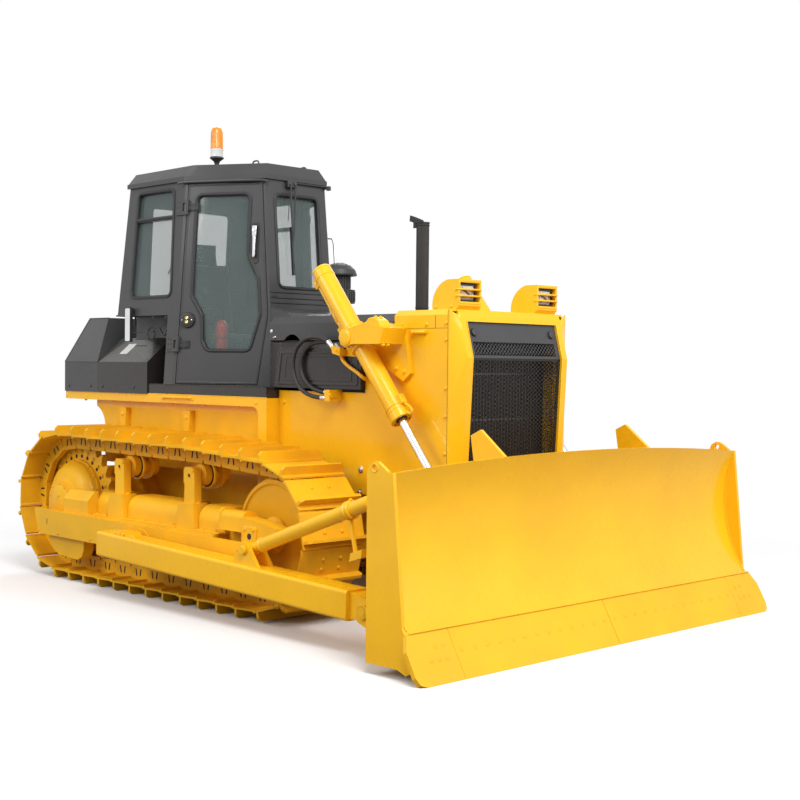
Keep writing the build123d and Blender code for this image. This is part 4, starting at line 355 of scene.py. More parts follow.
class Shape:
    """One piece's mesh, built up from turned, swept and cut forms."""

    def __init__(self):
        self.bm = bmesh.new()

    def rings(self, loops, ends=(True, True)):
        """Skins through rings of points that all have the same count."""
        made = [[self.bm.verts.new(p) for p in loop] for loop in loops]
        count = len(made[0])
        for a, b in zip(made, made[1:]):
            for i in range(count):
                j = (i + 1) % count
                self.bm.faces.new((a[i], a[j], b[j], b[i]))
        if ends[0]:
            self.bm.faces.new(list(reversed(made[0])))
        if ends[1]:
            self.bm.faces.new(made[-1])

    def turned(self, place, profile, sides, phase=0.0, ends=(True, True)):
        """A form turned about a frame's w: profile lists (w, radius) from its base up."""
        turns = [phase + t for t in round_turn(sides)]
        self.rings([[place @ Vector((r * math.cos(t), r * math.sin(t), w)) for t in turns] for w, r in profile],
                   ends=ends)

    def torus(self, place, ring, thick, sides):
        """A ring of round section, eight-sided, about a frame's w."""
        section = [(ring + thick * math.cos(a), thick * math.sin(a)) for a in round_turn(8)]
        turns = round_turn(sides)
        self.rings([[place @ Vector((r * math.cos(t), r * math.sin(t), w)) for r, w in section]
                    for t in turns + [2 * math.pi]], ends=(False, False))

    def bolt(self, place, size, height, washer=True):
        """A hexagon head with a chamfered top, on a washer."""
        base = 0.0
        if washer:
            self.turned(place, ((-1.0, size * 1.55), (2.2, size * 1.55), (3.0, size * 1.4)), 16)
            base = 2.5
        self.turned(place, ((base - 1.0, size), (base + height * 0.78, size), (base + height, size * 0.8)), 6, 0.3)

    def bolts(self, places, size, height, washer=True):
        """One bolt at each of the frames."""
        for place in places:
            self.bolt(place, size, height, washer)

    def button(self, place, size, height):
        """A low domed bolt head."""
        self.turned(place, ((-1, size), (height * 0.3, size), (height * 0.75, size * 0.78), (height, size * 0.4)), 12)

    def prism(self, place, outline, low, high, shrink=0.0):
        """An outline of (u, v) points drawn from w low to w high, its top edge pulled in by shrink."""
        levels = [(low, outline), (high - shrink, outline)]
        if shrink:
            levels.append((high, moved_out(outline, -shrink)))
        self.rings([[place @ Vector((*p, w)) for p in ring] for w, ring in levels])

    def slab(self, x, y, z, chamfer):
        """A plate between limits along each axis, its top and bottom edges chamfered."""
        outline = rounded([(x[0], y[0]), (x[1], y[0]), (x[1], y[1]), (x[0], y[1])], chamfer, 2)
        step = chamfer * 0.6
        inner = moved_out(outline, -step)
        levels = ((z[0], inner), (z[0] + step, outline), (z[1] - step, outline), (z[1], inner))
        self.rings([[Vector((*p, w)) for p in ring] for w, ring in levels])

    def tube(self, points, radius, sides, smooth=4):
        """A round bar along a path of points, its corners eased."""
        path = eased([Vector(p) for p in points], smooth)
        loops = []
        side = None
        for i, p in enumerate(path):
            ahead = (path[min(i + 1, len(path) - 1)] - path[max(i - 1, 0)]).normalized()
            if side is None:
                side = ahead.orthogonal().normalized()
            side = (side - ahead * side.dot(ahead)).normalized()
            up = ahead.cross(side)
            loops.append([p + radius * (side * math.cos(t) + up * math.sin(t)) for t in round_turn(sides)])
        self.rings(loops)

    def band(self, place, outline, profile):
        """A closed strip that follows an outline: profile lists (out from it, height)."""
        loops = [[place @ Vector((u, v, h)) for u, v in moved_out(outline, out)] for out, h in profile]
        self.rings(loops + [loops[0]], ends=(False, False))

    def mirrored(self):
        """Repeats everything on the machine's other side."""
        copy = bmesh.ops.duplicate(self.bm, geom=self.bm.verts[:] + self.bm.edges[:] + self.bm.faces[:])["geom"]
        verts = [g for g in copy if isinstance(g, bmesh.types.BMVert)]
        for vert in verts:
            vert.co.y = -vert.co.y
        bmesh.ops.reverse_faces(self.bm, faces=[g for g in copy if isinstance(g, bmesh.types.BMFace)])
        return self

    def finish(self, name, look, body="chassis", slot=None, smooth=35.0):
        """The Blender object in metres, riding on a body, with its material."""
        bmesh.ops.recalc_face_normals(self.bm, faces=self.bm.faces[:])
        for vert in self.bm.verts:
            vert.co *= MM
        mesh = bpy.data.meshes.new(name)
        self.bm.to_mesh(mesh)
        self.bm.free()
        mesh.shade_smooth()
        mesh.set_sharp_from_angle(angle=math.radians(smooth))
        piece = bpy.data.objects.new(name, mesh)
        bpy.context.scene.collection.objects.link(piece)
        mesh.materials.append(M[look])
        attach(piece, body)
        return piece


def bend(start, corner, end, steps):
    """Points on a short curve from start to end that leans towards the corner."""
    shares = [k / steps for k in range(steps + 1)]
    return [start * (1 - t) ** 2 + corner * 2 * t * (1 - t) + end * t * t for t in shares]


def rounded(points, radius, steps=4):
    """A closed outline with its corners rounded."""
    result = []
    count = len(points)
    for i in range(count):
        before, here, after = (Vector(points[(i + k) % count]) for k in (-1, 0, 1))
        a, b = (before - here), (after - here)
        turn = math.pi - a.angle(b)
        reach = min(radius * math.tan(turn / 2), a.length * 0.45, b.length * 0.45)
        start, end = here + a.normalized() * reach, here + b.normalized() * reach
        result += [tuple(p) for p in bend(start, here, end, steps)]
    return result


def pad(half_u, half_v, radius, steps=4):
    """A rectangle's outline about a frame's origin, its corners rounded."""
    corners = [(-half_u, -half_v), (half_u, -half_v), (half_u, half_v), (-half_u, half_v)]
    return rounded(corners, radius, steps)


def round_turn(count, start=0.0):
    """The angles of count even places round a full turn, the first of them start places on."""
    return [2 * math.pi * (i + start) / count for i in range(count)]


def moved_out(outline, by):
    """An outline moved outwards by a distance."""
    area = sum(a[0] * b[1] - b[0] * a[1] for a, b in zip(outline, outline[1:] + outline[:1]))
    sign = 1 if area > 0 else -1
    result = []
    count = len(outline)
    for i in range(count):
        before, here, after = (Vector(outline[(i + k) % count]) for k in (-1, 0, 1))
        a, b = here - before, after - here
        n1 = Vector((a.y, -a.x)).normalized() if a.length > 1e-6 else Vector((b.y, -b.x)).normalized()
        n2 = Vector((b.y, -b.x)).normalized() if b.length > 1e-6 else n1
        n = (n1 + n2).normalized()
        result.append(tuple(here + n * (sign * by / max(0.4, n.dot(n1)))))
    return result


def eased(points, steps):
    """A path with its inner corners cut by short curves."""
    if steps < 2 or len(points) < 3:
        return points
    result = [points[0]]
    for before, here, after in zip(points, points[1:], points[2:]):
        result += bend(here.lerp(before, 0.4), here, here.lerp(after, 0.4), steps)
    return result + [points[-1]]


NODE_LOOKS = {
    "track": "track", "sprockets": "yellow_rough", "idlers": "yellow_rough", "track_rollers": "track",
    "carrier_rollers": "yellow_rough", "final_drives": "yellow_rough", "track_frame": "yellow_rough",
    "hull": "yellow_rough", "engine_block": "dark_steel", "drawbar": "yellow_rough", "fenders": "yellow",
    "platform": "black", "fuel_tank": "grey", "side_boxes": "black", "hood": "grey", "hood_front": "yellow",
    "side_panels": "yellow", "engine_covers": "black", "radiator_guard": "yellow", "grille": "mesh",
    "radiator": "mesh", "lamp_housings": "yellow", "front_lamps": "lens", "exhaust": "stack",
    "precleaner": "plastic", "cab_front": "grey", "cab_rear": "grey", "cab_sides": "grey", "door": "grey",
    "door_glass": "glass", "cab_glass": "glass", "cab_roof": "grey", "seat": "cloth", "console": "plastic",
    "cowl": "grey", "cab_fittings": "plastic", "beacon": "plastic", "rear_lamps": "plastic",
    "lift_brackets": "yellow", "lift_barrel": "yellow", "lift_rod": "chrome", "trunnion_balls": "dark_steel",
    "push_arm": "yellow", "brace": "yellow", "tilt_barrel": "yellow", "tilt_rod": "chrome", "blade": "yellow",
    "cutting_edge": "edge", "hose": "rubber",
}


def dress_nodes():
    """Gives each CAD node the material of the longest name in the table that its own begins with."""
    for name, node in NODES.items():
        key = max((k for k in NODE_LOOKS if name.startswith(k)), key=len)
        node.data.materials.clear()
        node.data.materials.append(M[NODE_LOOKS[key]])


dress_nodes()


# ------------------------------------------------------------------ hoses of the lift cylinders
HOSE_RADIUS = 14
HOSE_ROUTES = {
    "outer": (655, (
        (706, 1761), (672, 1790), (600, 1817), (496, 1823), (400, 1796), (335, 1735), (309, 1655), (318, 1575),
        (362, 1500), (435, 1450), (546, 1420), (651, 1420),
    )),
    "inner": (622, (
        (738, 1740), (704, 1766), (640, 1784), (560, 1790), (480, 1781), (410, 1748), (366, 1695), (352, 1635),
        (368, 1570), (415, 1515), (480, 1478), (565, 1456), (651, 1456),
    )),
}


def smooth_line(name, points):
    """A NURBS line with those control points, in metres."""
    data = bpy.data.curves.new(name, "CURVE")
    data.dimensions = "3D"
    spline = data.splines.new("NURBS")
    spline.points.add(len(points) - 1)
    for point, place in zip(spline.points, points):
        point.co = (*place, 1)
    spline.order_u = 3
    spline.use_endpoint_u = True
    spline.resolution_u = 10
    line = bpy.data.objects.new(name, data)
    bpy.context.scene.collection.objects.link(line)
    return line


def route_length(line):
    """How long a line is, and its points."""
    mesh = bpy.data.meshes.new_from_object(line)
    places = [v.co.copy() for v in mesh.vertices]
    bpy.data.meshes.remove(mesh)
    return sum((b - a).length for a, b in zip(places, places[1:])), places


def hoses():
    """Four free hoses, each with plated end sleeves."""
    for side, which in SIDES:
        for run, (y, route) in HOSE_ROUTES.items():
            name = f"hose_{which}_{run}"
            points = [(x * MM, side * y * MM, z * MM) for x, z in route]
            line = smooth_line(f"{name}_rubber", points)
            length, places = route_length(line)
            line.data.bevel_depth = HOSE_RADIUS * MM
            line.data.bevel_resolution = 4
            line.data.use_fill_caps = True
            line.data.materials.append(M["rubber"])
            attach(line, "chassis")
            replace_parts(line, name)
            sleeves = Shape()
            for end, inner in ((places[0], places[2]), (places[-1], places[-3])):
                along = (inner - end).normalized()
                grip = frame_at(end * METRE, along)
                sleeves.turned(grip, ((-3, 15.5), (0, 17.5), (9, 17.5), (11, 15.6), (14, 15.6), (16, 17.2),
                                      (46, 17.2), (50, 14.2)), 20)
                sleeves.turned(grip, ((-12, 18.5), (-10, 20), (-3, 20), (-1, 18)), 6)
            ends = sleeves.finish(f"{name}_sleeves", "zinc")


hoses()


# ------------------------------------------------------------------ tracks
SHOE_COUNT = 37
PITCH = 203.2  # from pin to pin of the chain
TRACK_Y = 940  # the middle of each track
SHOE_SEAT = 62  # from the pins' line out to the shoe plates
SHOE_PLATE = 13
SPROCKET = (-1845, 580.6, 440.6)  # x, z and pitch radius, as for the idler
IDLER = (585, 545, 405)
CARRIERS = ((-1050, 1010), (-200, 1000))  # x, and z of the chain's line over each roller
CARRIER_DROP = 121
SKIPPED_BOLTS = (13, 14)  # places left empty in the final drive's ring of eighteen
ROLLER_X = [-1420 + i * 318.4 for i in range(6)]
ROLLER_Z = 270
GUARD_FACE = TRACK_Y + 140


def arc(centre, start):
    """Half a turn round a wheel (x, z, pitch radius) in 60 steps, from a start angle."""
    x, z, r = centre
    angles = [start + math.pi * i / 60 for i in range(61)]
    return [(x + r * math.cos(t), z + r * math.sin(t)) for t in angles]


def shoe_frames():
    """Middle and heading of every shoe round the loop; w is the way out from the loop."""
    path = arc(IDLER, -math.pi / 2) + list(reversed(CARRIERS)) + arc(SPROCKET, math.pi / 2)
    path.append(path[0])
    lengths = [math.dist(a, b) for a, b in zip(path, path[1:])]
    step = sum(lengths) / SHOE_COUNT
    pins, passed, want = [], 0.0, 0.0
    for a, b, length in zip(path, path[1:], lengths):
        while want < passed + length and len(pins) < SHOE_COUNT:
            share = (want - passed) / length
            pins.append((a[0] + share * (b[0] - a[0]), a[1] + share * (b[1] - a[1])))
            want += step
        passed += length
    places = []
    for a, b in zip(pins, pins[1:] + pins[:1]):
        ahead = Vector((b[0] - a[0], 0, b[1] - a[1])).normalized()
        out = Vector((ahead.z, 0, -ahead.x))
        middle = Vector(((a[0] + b[0]) / 2, 0, (a[1] + b[1]) / 2))
        places.append((middle, ahead, out))
    return places


def track_details():
    """Shoe bolts, the slots beside each grouser and the links' bolt windows as dark inlays of painted shade, and the
    pins' ends.
    """
    face = SHOE_SEAT + SHOE_PLATE
    for side, which in SIDES:
        bolts, shade_slots, pins = Shape(), Shape(), Shape()
        for middle, ahead, out in shoe_frames():

            def spot(along, above, y):
                return middle + ahead * along + out * above + Vector((0, side * (TRACK_Y + y), 0))

            for y in (-72, 72):
                for along in (-32, 34):
                    bolts.button(frame_at(spot(along, face - along * 0.02, y), out), 14, 12)
                # a dark inlay of painted shade in the slot beside the grouser
                shade_slots.prism(frame_at(spot(-PITCH / 2 + 38, face + 2, y), out), pad(17, 6, 5, 2), -3, 1.2)
            # two leaning windows, dark inlays that paint the shade in the link's openings, and a pin end on each face
            # of the link
            for y, sense in ((95, 1), (-95, -1)):
                face_out = (0, side * sense, 0)
                for along, lean in ((-30, 5), (22, -5)):
                    window = [(lean - 7, -26), (lean + 7, -26), (7 - lean, 26), (-7 - lean, 26)]
                    shade_slots.prism(frame_at(spot(along, 14, y), face_out, ahead), rounded(window, 5, 2), -2, 0.9)
                pins.turned(frame_at(spot(24 - PITCH / 2, 0, y), face_out),
                            ((-2, 27), (2, 27), (4, 24), (4, 18), (2, 17)), 16)
        bolts.finish(f"shoe_bolts_{which}", "track", smooth=50)
        shade_slots.finish(f"shoe_slots_{which}", "hole")
        pins.finish(f"link_pins_{which}", "track")


def sprocket_details():
    """Rings of bolts on the sprocket rims and final drives, and the carrier rollers' hubs."""
    def on_wheel(r, t, y):
        return wheel_frame(SPROCKET[0], y, SPROCKET[1], r, t)

    ring = Shape()
    ring.bolts((on_wheel(372, t, -966) for t in round_turn(27, 0.5)), 12, 10)
    ring.bolts((on_wheel(302, t, -991) for i, t in enumerate(round_turn(18)) if i not in SKIPPED_BOLTS), 9, 7)
    ring.mirrored().finish("sprocket_bolts", "yellow_rough")

    # dark discs in the sprocket rim's recesses, dark rings in the carrier rollers' seal grooves and dark discs in
    # their end bores: painted shade
    marks, rings = Shape(), Shape()
    for t in round_turn(27, 0.5):
        marks.turned(on_wheel(336, t, -965.6), ((-2, 15), (1.2, 15)), 14)
    for x, run_z in CARRIERS:
        z = run_z - CARRIER_DROP
        for near in (-52, 44):
            marks.turned(side_frame(x, -(TRACK_Y + near), z), ((0, 76), (0, 84), (8, 84), (8, 76)), 36)
        marks.turned(side_frame(x, -1130.5, z), ((-1, 13), (1.5, 13)), 16)
        rings.torus(side_frame(x, -(TRACK_Y + 84), z), 62, 9, 36)
        rings.turned(side_frame(x, -(TRACK_Y + 100), z), ((0, 62), (6, 62), (9, 56), (16, 48), (16, 30)), 32)
        rings.torus(side_frame(x, -1130, z), 17, 4, 20)
        rings.bolts((top_frame(x + dx, -1100, 696) for dx in (-70, 70)), 11, 9)
        rings.bolt(side_frame(x + 42, -1131, z + 34), 8, 6)
    marks.mirrored().finish("undercarriage_recess_shade", "groove")
    rings.mirrored().finish("carrier_seals", "yellow_rough")


def frame_details():
    """Flanges and bolts along the covers, yoke block, bearing bolt, guard bolts, roller caps and idler rings."""
    cover_y, rail_y, yoke_y = -1150, -1245, -1217
    bolt_z = 352
    flange = Shape()
    for rear, front in ((-1360, -1155), (-945, -305), (-95, 195)):
        flange.slab((rear + 6, front - 6), (-1172, -1120), (519, 528), 4)
        count = max(2, round((front - rear) / 150))
        even = [rear + (front - rear) * (i + 0.5) / count for i in range(count)]
        flange.bolts((top_frame(x, cover_y, 528) for x in even), 10, 8)
        for x in (rear + 16, front - 16):
            flange.prism(side_frame(x, -1125.5, 0), [(-7, 522), (7, 522), (7, 590), (-7, 590)], -1, 2)
    # bearing boss over the final drive's axle, and its plug
    boss_x, boss_z = -1845, 580
    flange.turned(side_frame(boss_x, cover_y, boss_z), ((-1, 120), (3, 120), (6, 114)), 40)
    flange.bolt(side_frame(boss_x, -1155, 622), 10, 8)
    upper = [math.radians(36 * i + 18) for i in range(5)]
    flange.bolts((wheel_frame(boss_x, cover_y, boss_z, 132, t) for t in upper), 8, 6, washer=False)
    # yoke block with its bolts
    yoke_x, yoke_z = 565, 545
    flange.prism(side_frame(yoke_x, -1205, yoke_z), pad(62, 62, 14), -6, 12, 4)
    flange.bolts((side_frame(yoke_x + du, yoke_y, yoke_z + dv) for du, dv in
                  ((-44, -44), (44, -44), (44, 44), (-44, 44))), 9, 7)
    half_turn = [math.pi * i / 6 for i in range(7)]
    flange.bolts((back_frame(225, -1142 + 62 * math.cos(t), 560 + 118 * math.sin(t)) for t in half_turn), 7, 5,
                 washer=False)
    # rail bolts, then the roller guards' bolts
    rail_x = (-1990, -1700, -1250, -980, 60, 330, 640)
    flange.bolts((side_frame(x, rail_y, bolt_z) for x in rail_x), 9, 7, washer=False)
    flange.bolts((side_frame(x + dx, -GUARD_FACE, bolt_z) for x in ROLLER_X for dx in (-60, 60)), 10, 8)
    flange.mirrored().finish("track_frame_fixings", "yellow_rough")

    # dark inlays in the yoke block's bore and the rail's two slots: painted shade of holes
    dark = Shape()
    dark.turned(side_frame(yoke_x, yoke_y - 0.5, yoke_z), ((-2, 20), (1, 20)), 18)
    for x in (-1860, 480):
        dark.prism(side_frame(x, rail_y - 0.5, 430), pad(3, 22, 2, 2), -2, 0.8)
    dark.mirrored().finish("track_frame_hole_shade", "groove")

    caps, hub = Shape(), Shape()
    for x in ROLLER_X:
        caps.turned(side_frame(x, -GUARD_FACE, ROLLER_Z + 20), ((-1, 34), (6, 34), (10, 28), (10, 12)), 24)
    caps.mirrored().finish("roller_caps", "yellow_rough")
    hub.turned(side_frame(IDLER[0], -(TRACK_Y + 96), IDLER[1]), ((-4, 118), (8, 112), (26, 86), (26, 70)), 40)
    hub.torus(side_frame(IDLER[0], -(TRACK_Y + 94), IDLER[1]), 330, 7, 64)
    hub.mirrored().finish("idler_rings", "yellow_rough")


track_details()
sprocket_details()
frame_details()


# ------------------------------------------------------------------ blade and its arms
ARM_Y = 1360
EDGE_FOOT = (2560, 0)  # x and z, as for the other points of this section
EDGE_TOP = (2418, 250)
EDGE_SEAM = 1349  # half the middle edge's width: the end bits start here
BRACE_FOOT = (775, 500)
BRACE_HEAD = (2040, 945)
MOLDBOARD_ARC = (3121.3, 753.2), 880  # the front face's centre in x and z, and its radius


def blade_details():
    """Edge bolts, end-bit bolts, welds and pin caps; most ride on the blade."""
    run = Vector((EDGE_TOP[0] - EDGE_FOOT[0], 0, EDGE_TOP[1] - EDGE_FOOT[1]))
    length = run.length
    up = run.normalized()
    out = Vector((up.z, 0, -up.x))
    bolts, sockets = Shape(), Shape()
    spots = [(-EDGE_SEAM + EDGE_SEAM * 2 * (i + 0.5) / 26, 0.56) for i in range(26)]
    for side in (-1, 1):
        spots += [(side * y, a) for y, a in ((1420, 0.72), (1480, 0.72), (1420, 0.46), (1480, 0.46), (1540, 0.46))]
    for y, share in spots:
        place = frame_at(Vector((EDGE_FOOT[0], y, EDGE_FOOT[1])) + up * (share * length), out)
        sockets.turned(place, ((-3, 18), (0.8, 18), (0.8, 14.5), (0.3, 14)), 20)
        bolts.turned(place, ((-2, 13.5), (1.2, 13.5), (2.0, 11)), 20)
        bolts.turned(place, ((1, 5.5), (3.2, 5.5), (3.6, 4.5)), 4)
    bolts.finish("edge_bolts", "edge", "blade")
    sockets.finish("edge_bolt_sockets", "edge", "blade")

    # weld beads up both end plates and along the edge, and the lifting ears' bore rings
    seams = Shape()
    (centre_x, centre_z), radius = MOLDBOARD_ARC
    for y in (-1626, 1626):
        heights = [262 + (1060 - 262) * i / 12 for i in range(13)]
        seams.tube([(centre_x - math.sqrt(radius ** 2 - (z - centre_z) ** 2) + 2, y, z) for z in heights], 6, 8, 1)
    seams.tube([(2420, -1640, 254), (2420, 1640, 254)], 5, 8, 1)
    for side in (-1, 1):
        for face in (1627, 1649):
            seams.torus(frame_at((2167, side * face, 1097), (0, 1, 0)), 22, 4, 24)
    seams.finish("blade_welds", "yellow", "blade", smooth=60)

    def arm_caps(shape, side):
        """The brace's foot cap on one arm."""
        x, z = BRACE_FOOT
        near = 72 if side < 0 else 76
        shape.turned(side_frame(x, side * (ARM_Y + near), z), ((-6, 27), (6, 27), (10, 23), (10, 9)), 28)

    def arm_top(shape, side):
        """Three cap bolts and a lug on one arm."""
        out = (0, side * 0.9, 0.45)
        shape.bolts((frame_at((x, side * (ARM_Y + 58), 470), out) for x in (-650, -600, -550)), 8, 7)
        shape.prism(frame_at((-455, side * (ARM_Y + 50), 452), (0, side, 0), (1, 0, 0)),
                    rounded([(-52, -10), (52, -22), (44, 12), (-30, 22)], 8), -34, 12, 3)

    pins = Shape()
    for y in (-ARM_Y - 118, -ARM_Y + 130):
        pins.turned(frame_at((1900, y, 279), (0, -1 if y < -ARM_Y else 1, 0)),
                    ((-4, 44), (8, 44), (12, 40), (12, 26), (8, 24), (8, 10)), 32)
    arm_caps(pins, -1)
    pins.turned(frame_at((BRACE_HEAD[0], -ARM_Y - 88, BRACE_HEAD[1]), (0, -1, 0)), ((-6, 31), (6, 31), (10, 26)), 28)
    arm_top(pins, -1)
    along = Vector((BRACE_HEAD[0] - BRACE_FOOT[0], 0, BRACE_HEAD[1] - BRACE_FOOT[1])).normalized()
    base = Vector((BRACE_FOOT[0], -ARM_Y, BRACE_FOOT[1]))
    for at, r in ((112, 47), (930, 56), (960, 56)):
        pins.turned(frame_at(base + along * at, along), ((-8, r - 4), (-5, r), (5, r), (8, r - 4)), 40)
    pins.bolt(frame_at(base + along * 945 + Vector((0, 0, 55)), (-along.z, 0, along.x)), 9, 9)
    pins.finish("right_arm_fixings", "yellow", "blade")

    left = Shape()
    arm_caps(left, 1)
    arm_top(left, 1)
    left.finish("left_arm_fixings", "yellow", "left_arm")

    tilt = Shape()
    base = Vector((BRACE_FOOT[0], ARM_Y, BRACE_FOOT[1]))
    for at, r in ((100, 66), (740, 68), (786, 66)):
        tilt.turned(frame_at(base + along * at, along), ((-9, r - 5), (-5, r), (5, r), (9, r - 5)), 40)
    tilt.tube([base + along * at + Vector((0, 0, h))
               for at, h in ((150, 60), (150, 88), (420, 88), (700, 88), (700, 60))], 10, 12)
    tilt.finish("tilt_cylinder_fittings", "yellow", "tilt_barrel")


blade_details()


# ------------------------------------------------------------------ lift cylinders
LIFT_TRUNNION = Vector((980, 0, 1810))
LIFT_PIN = Vector((2030, 0, 500))
LIFT_Y = 680
BARREL_SKIN = 58  # inner radius of the rings clamped round a barrel


def lift_details():
    """Rounded barrel ends, clamp rings, pipes, trunnion caps and gland bolts."""
    along = (LIFT_PIN - LIFT_TRUNNION).normalized()
    rise = Vector((-along.z, 0, along.x))
    for side, which in SIDES:
        barrel = f"lift_barrel_{which}"
        base = LIFT_TRUNNION + Vector((0, side * LIFT_Y, 0))

        def at(distance, above=0):
            return frame_at(base + rise * above + along * distance, along)

        cap = Shape()
        cap.turned(at(-570), ((12, 65.5), (2, 65), (-6, 60), (-11, 50), (-13, 36)), 48)
        for where, r in ((-505, 67), (-72, 79), (82, 79), (560, 68), (588, 72), (646, 72)):
            cap.turned(at(where), ((-7, BARREL_SKIN), (-7, r - 4), (-4, r), (4, r), (7, r - 4), (7, BARREL_SKIN)), 48,
                       ends=(False, False))
        for t in round_turn(8):
            spot = base + along * 644 + (rise * math.cos(t) + Vector((0, math.sin(t), 0))) * 54
            cap.bolt(frame_at(spot, along), 8, 8, washer=False)
        # pipe saddles, the sleeve half-way and a ring at the sleeve's upper end
        for where in (-520, -110):
            cap.turned(at(where, -80), ((-12, 15), (-9, 19), (9, 19), (12, 15)), 20)
        cap.turned(at(-250, -80), ((-60, 14), (-55, 17.5), (55, 17.5), (60, 14)), 20)
        cap.torus(at(-308, -80), 15, 3.5, 20)
        # lower port block and its loop of pipe on the upper side
        high = base + rise * 66
        cap.prism(frame_at(high + along * 548, rise, along), pad(34, 22, 6), -10, 26, 4)
        cap.bolt(frame_at(high + along * 532 + rise * 26, rise), 8, 7)
        loop = ((575, 8), (610, 34), (655, 44), (668, 20), (640, 2))
        cap.tube([high + along * u + rise * v for u, v in loop], 9, 10)
        cap.finish(f"lift_barrel_fittings_{which}", "yellow", barrel)

        wiper = Shape()
        wiper.turned(at(644), ((-2, 40), (6, 38), (8, 31), (4, 28.6)), 36, ends=(False, False))
        wiper.finish(f"lift_wiper_{which}", "gasket", barrel)

        nuts = Shape()
        for where in (-525, -100):
            nuts.bolt(frame_at(base - rise * 80 + along * where + Vector((0, side * 16, 0)), (0, side, 0)), 7, 6)
        nuts.finish(f"lift_pipe_nuts_{which}", "zinc", barrel)

    # bearing caps over the trunnions and their bolts
    cap = Shape()
    cap.turned(side_frame(980, -790, 1810), ((-2, 52), (4, 52), (9, 44), (9, 20)), 36)
    hump = [(1150, 1900), (1180, 1930), (1230, 1938), (1275, 1915), (1300, 1880), (1280, 1800), (1170, 1840)]
    cap.prism(side_frame(0, -700, 0), rounded(hump, 22), 0, 84, 6)
    for y in (-725, -765):
        cap.bolt(frame_at((1296, y, 1772), (0.42, 0, -0.9)), 14, 14)
        cap.bolt(frame_at((1232, y, 1932), (0.1, 0, 1)), 11, 10)
    cap.bolts((side_frame(x, -588, z) for x, z in ((1090, 1850), (1240, 1620), (1310, 1600), (1290, 1840))), 11, 9)
    cap.mirrored().finish("trunnion_caps", "yellow")

    pipes = Shape()
    pipes.tube([(752, -622, 1712), (772, -622, 1668), (830, -622, 1628), (900, -620, 1596), (962, -618, 1560),
                (962, -600, 1548), (962, -556, 1545)], 12, 14)
    pipes.turned(frame_at((757, -622, 1704), (0.4, 0, -0.9)), ((-10, 17), (4, 17), (7, 14)), 6)
    pipes.bolts((side_frame(x, -672, z) for x, z in ((766, 1732), (786, 1726))), 8, 7, washer=False)
    for y in (-655, -622):
        pipes.turned(back_frame(690, y, 1438), ((-20, 19), (-4, 19), (0, 16)), 6)
    pipes.turned(side_frame(962, -560, 1545), ((-2, 24), (4, 24), (8, 18)), 20)
    pipes.mirrored().finish("port_pipes", "yellow")


lift_details()


# ------------------------------------------------------------------ radiator guard and grille
BODY_Y = 560
COVER_Y = 602
LAMP_Y = 373
GUARD_BEND = (1748, 1690)  # x and z of the bend in the guard's front face
GUARD_SLOPE_LOW = (1748 - 1700) / (1690 - 800)
GUARD_SLOPE_TOP = (1681 - 1748) / (1945 - 1690)
GRILLE_BACK = 16  # how far the grille lies behind that face
GRILLE_HALF = 444
SHEET = 3  # the perforated sheets' thickness


def grille_x(z):
    """X of the grille's front face at height z."""
    slope = GUARD_SLOPE_LOW if z < GUARD_BEND[1] else GUARD_SLOPE_TOP
    return GUARD_BEND[0] + (z - GUARD_BEND[1]) * slope - GRILLE_BACK


def perforated(shape, place, columns, rows, cell, hole, first_v):
    """A staggered field of oval holes cut in a flat sheet, one diamond cell round each hole."""
    a, b = cell
    corners = [(a, 0), (a / 2, b / 2), (0, b), (-a / 2, b / 2), (-a, 0), (-a / 2, -b / 2), (0, -b), (a / 2, -b / 2)]
    oval = [(hole[0] * math.cos(math.pi * k / 4), hole[1] * math.sin(math.pi * k / 4)) for k in range(8)]
    for row in range(rows):
        count = columns - row % 2
        for column in range(count):
            u, v = (column - (count - 1) / 2) * 2 * a, first_v + row * b
            outer, inner = ([place @ Vector((u + du, v + dv, 0)) for du, dv in ring] for ring in (corners, oval))
            outer_low = [place @ Vector((u + du, v + dv, -SHEET)) for du, dv in corners]
            inner_low = [p + place.to_3x3() @ Vector((0, 0, -SHEET)) for p in inner]
            shape.rings([outer_low, outer, inner, inner_low], ends=(False, False))


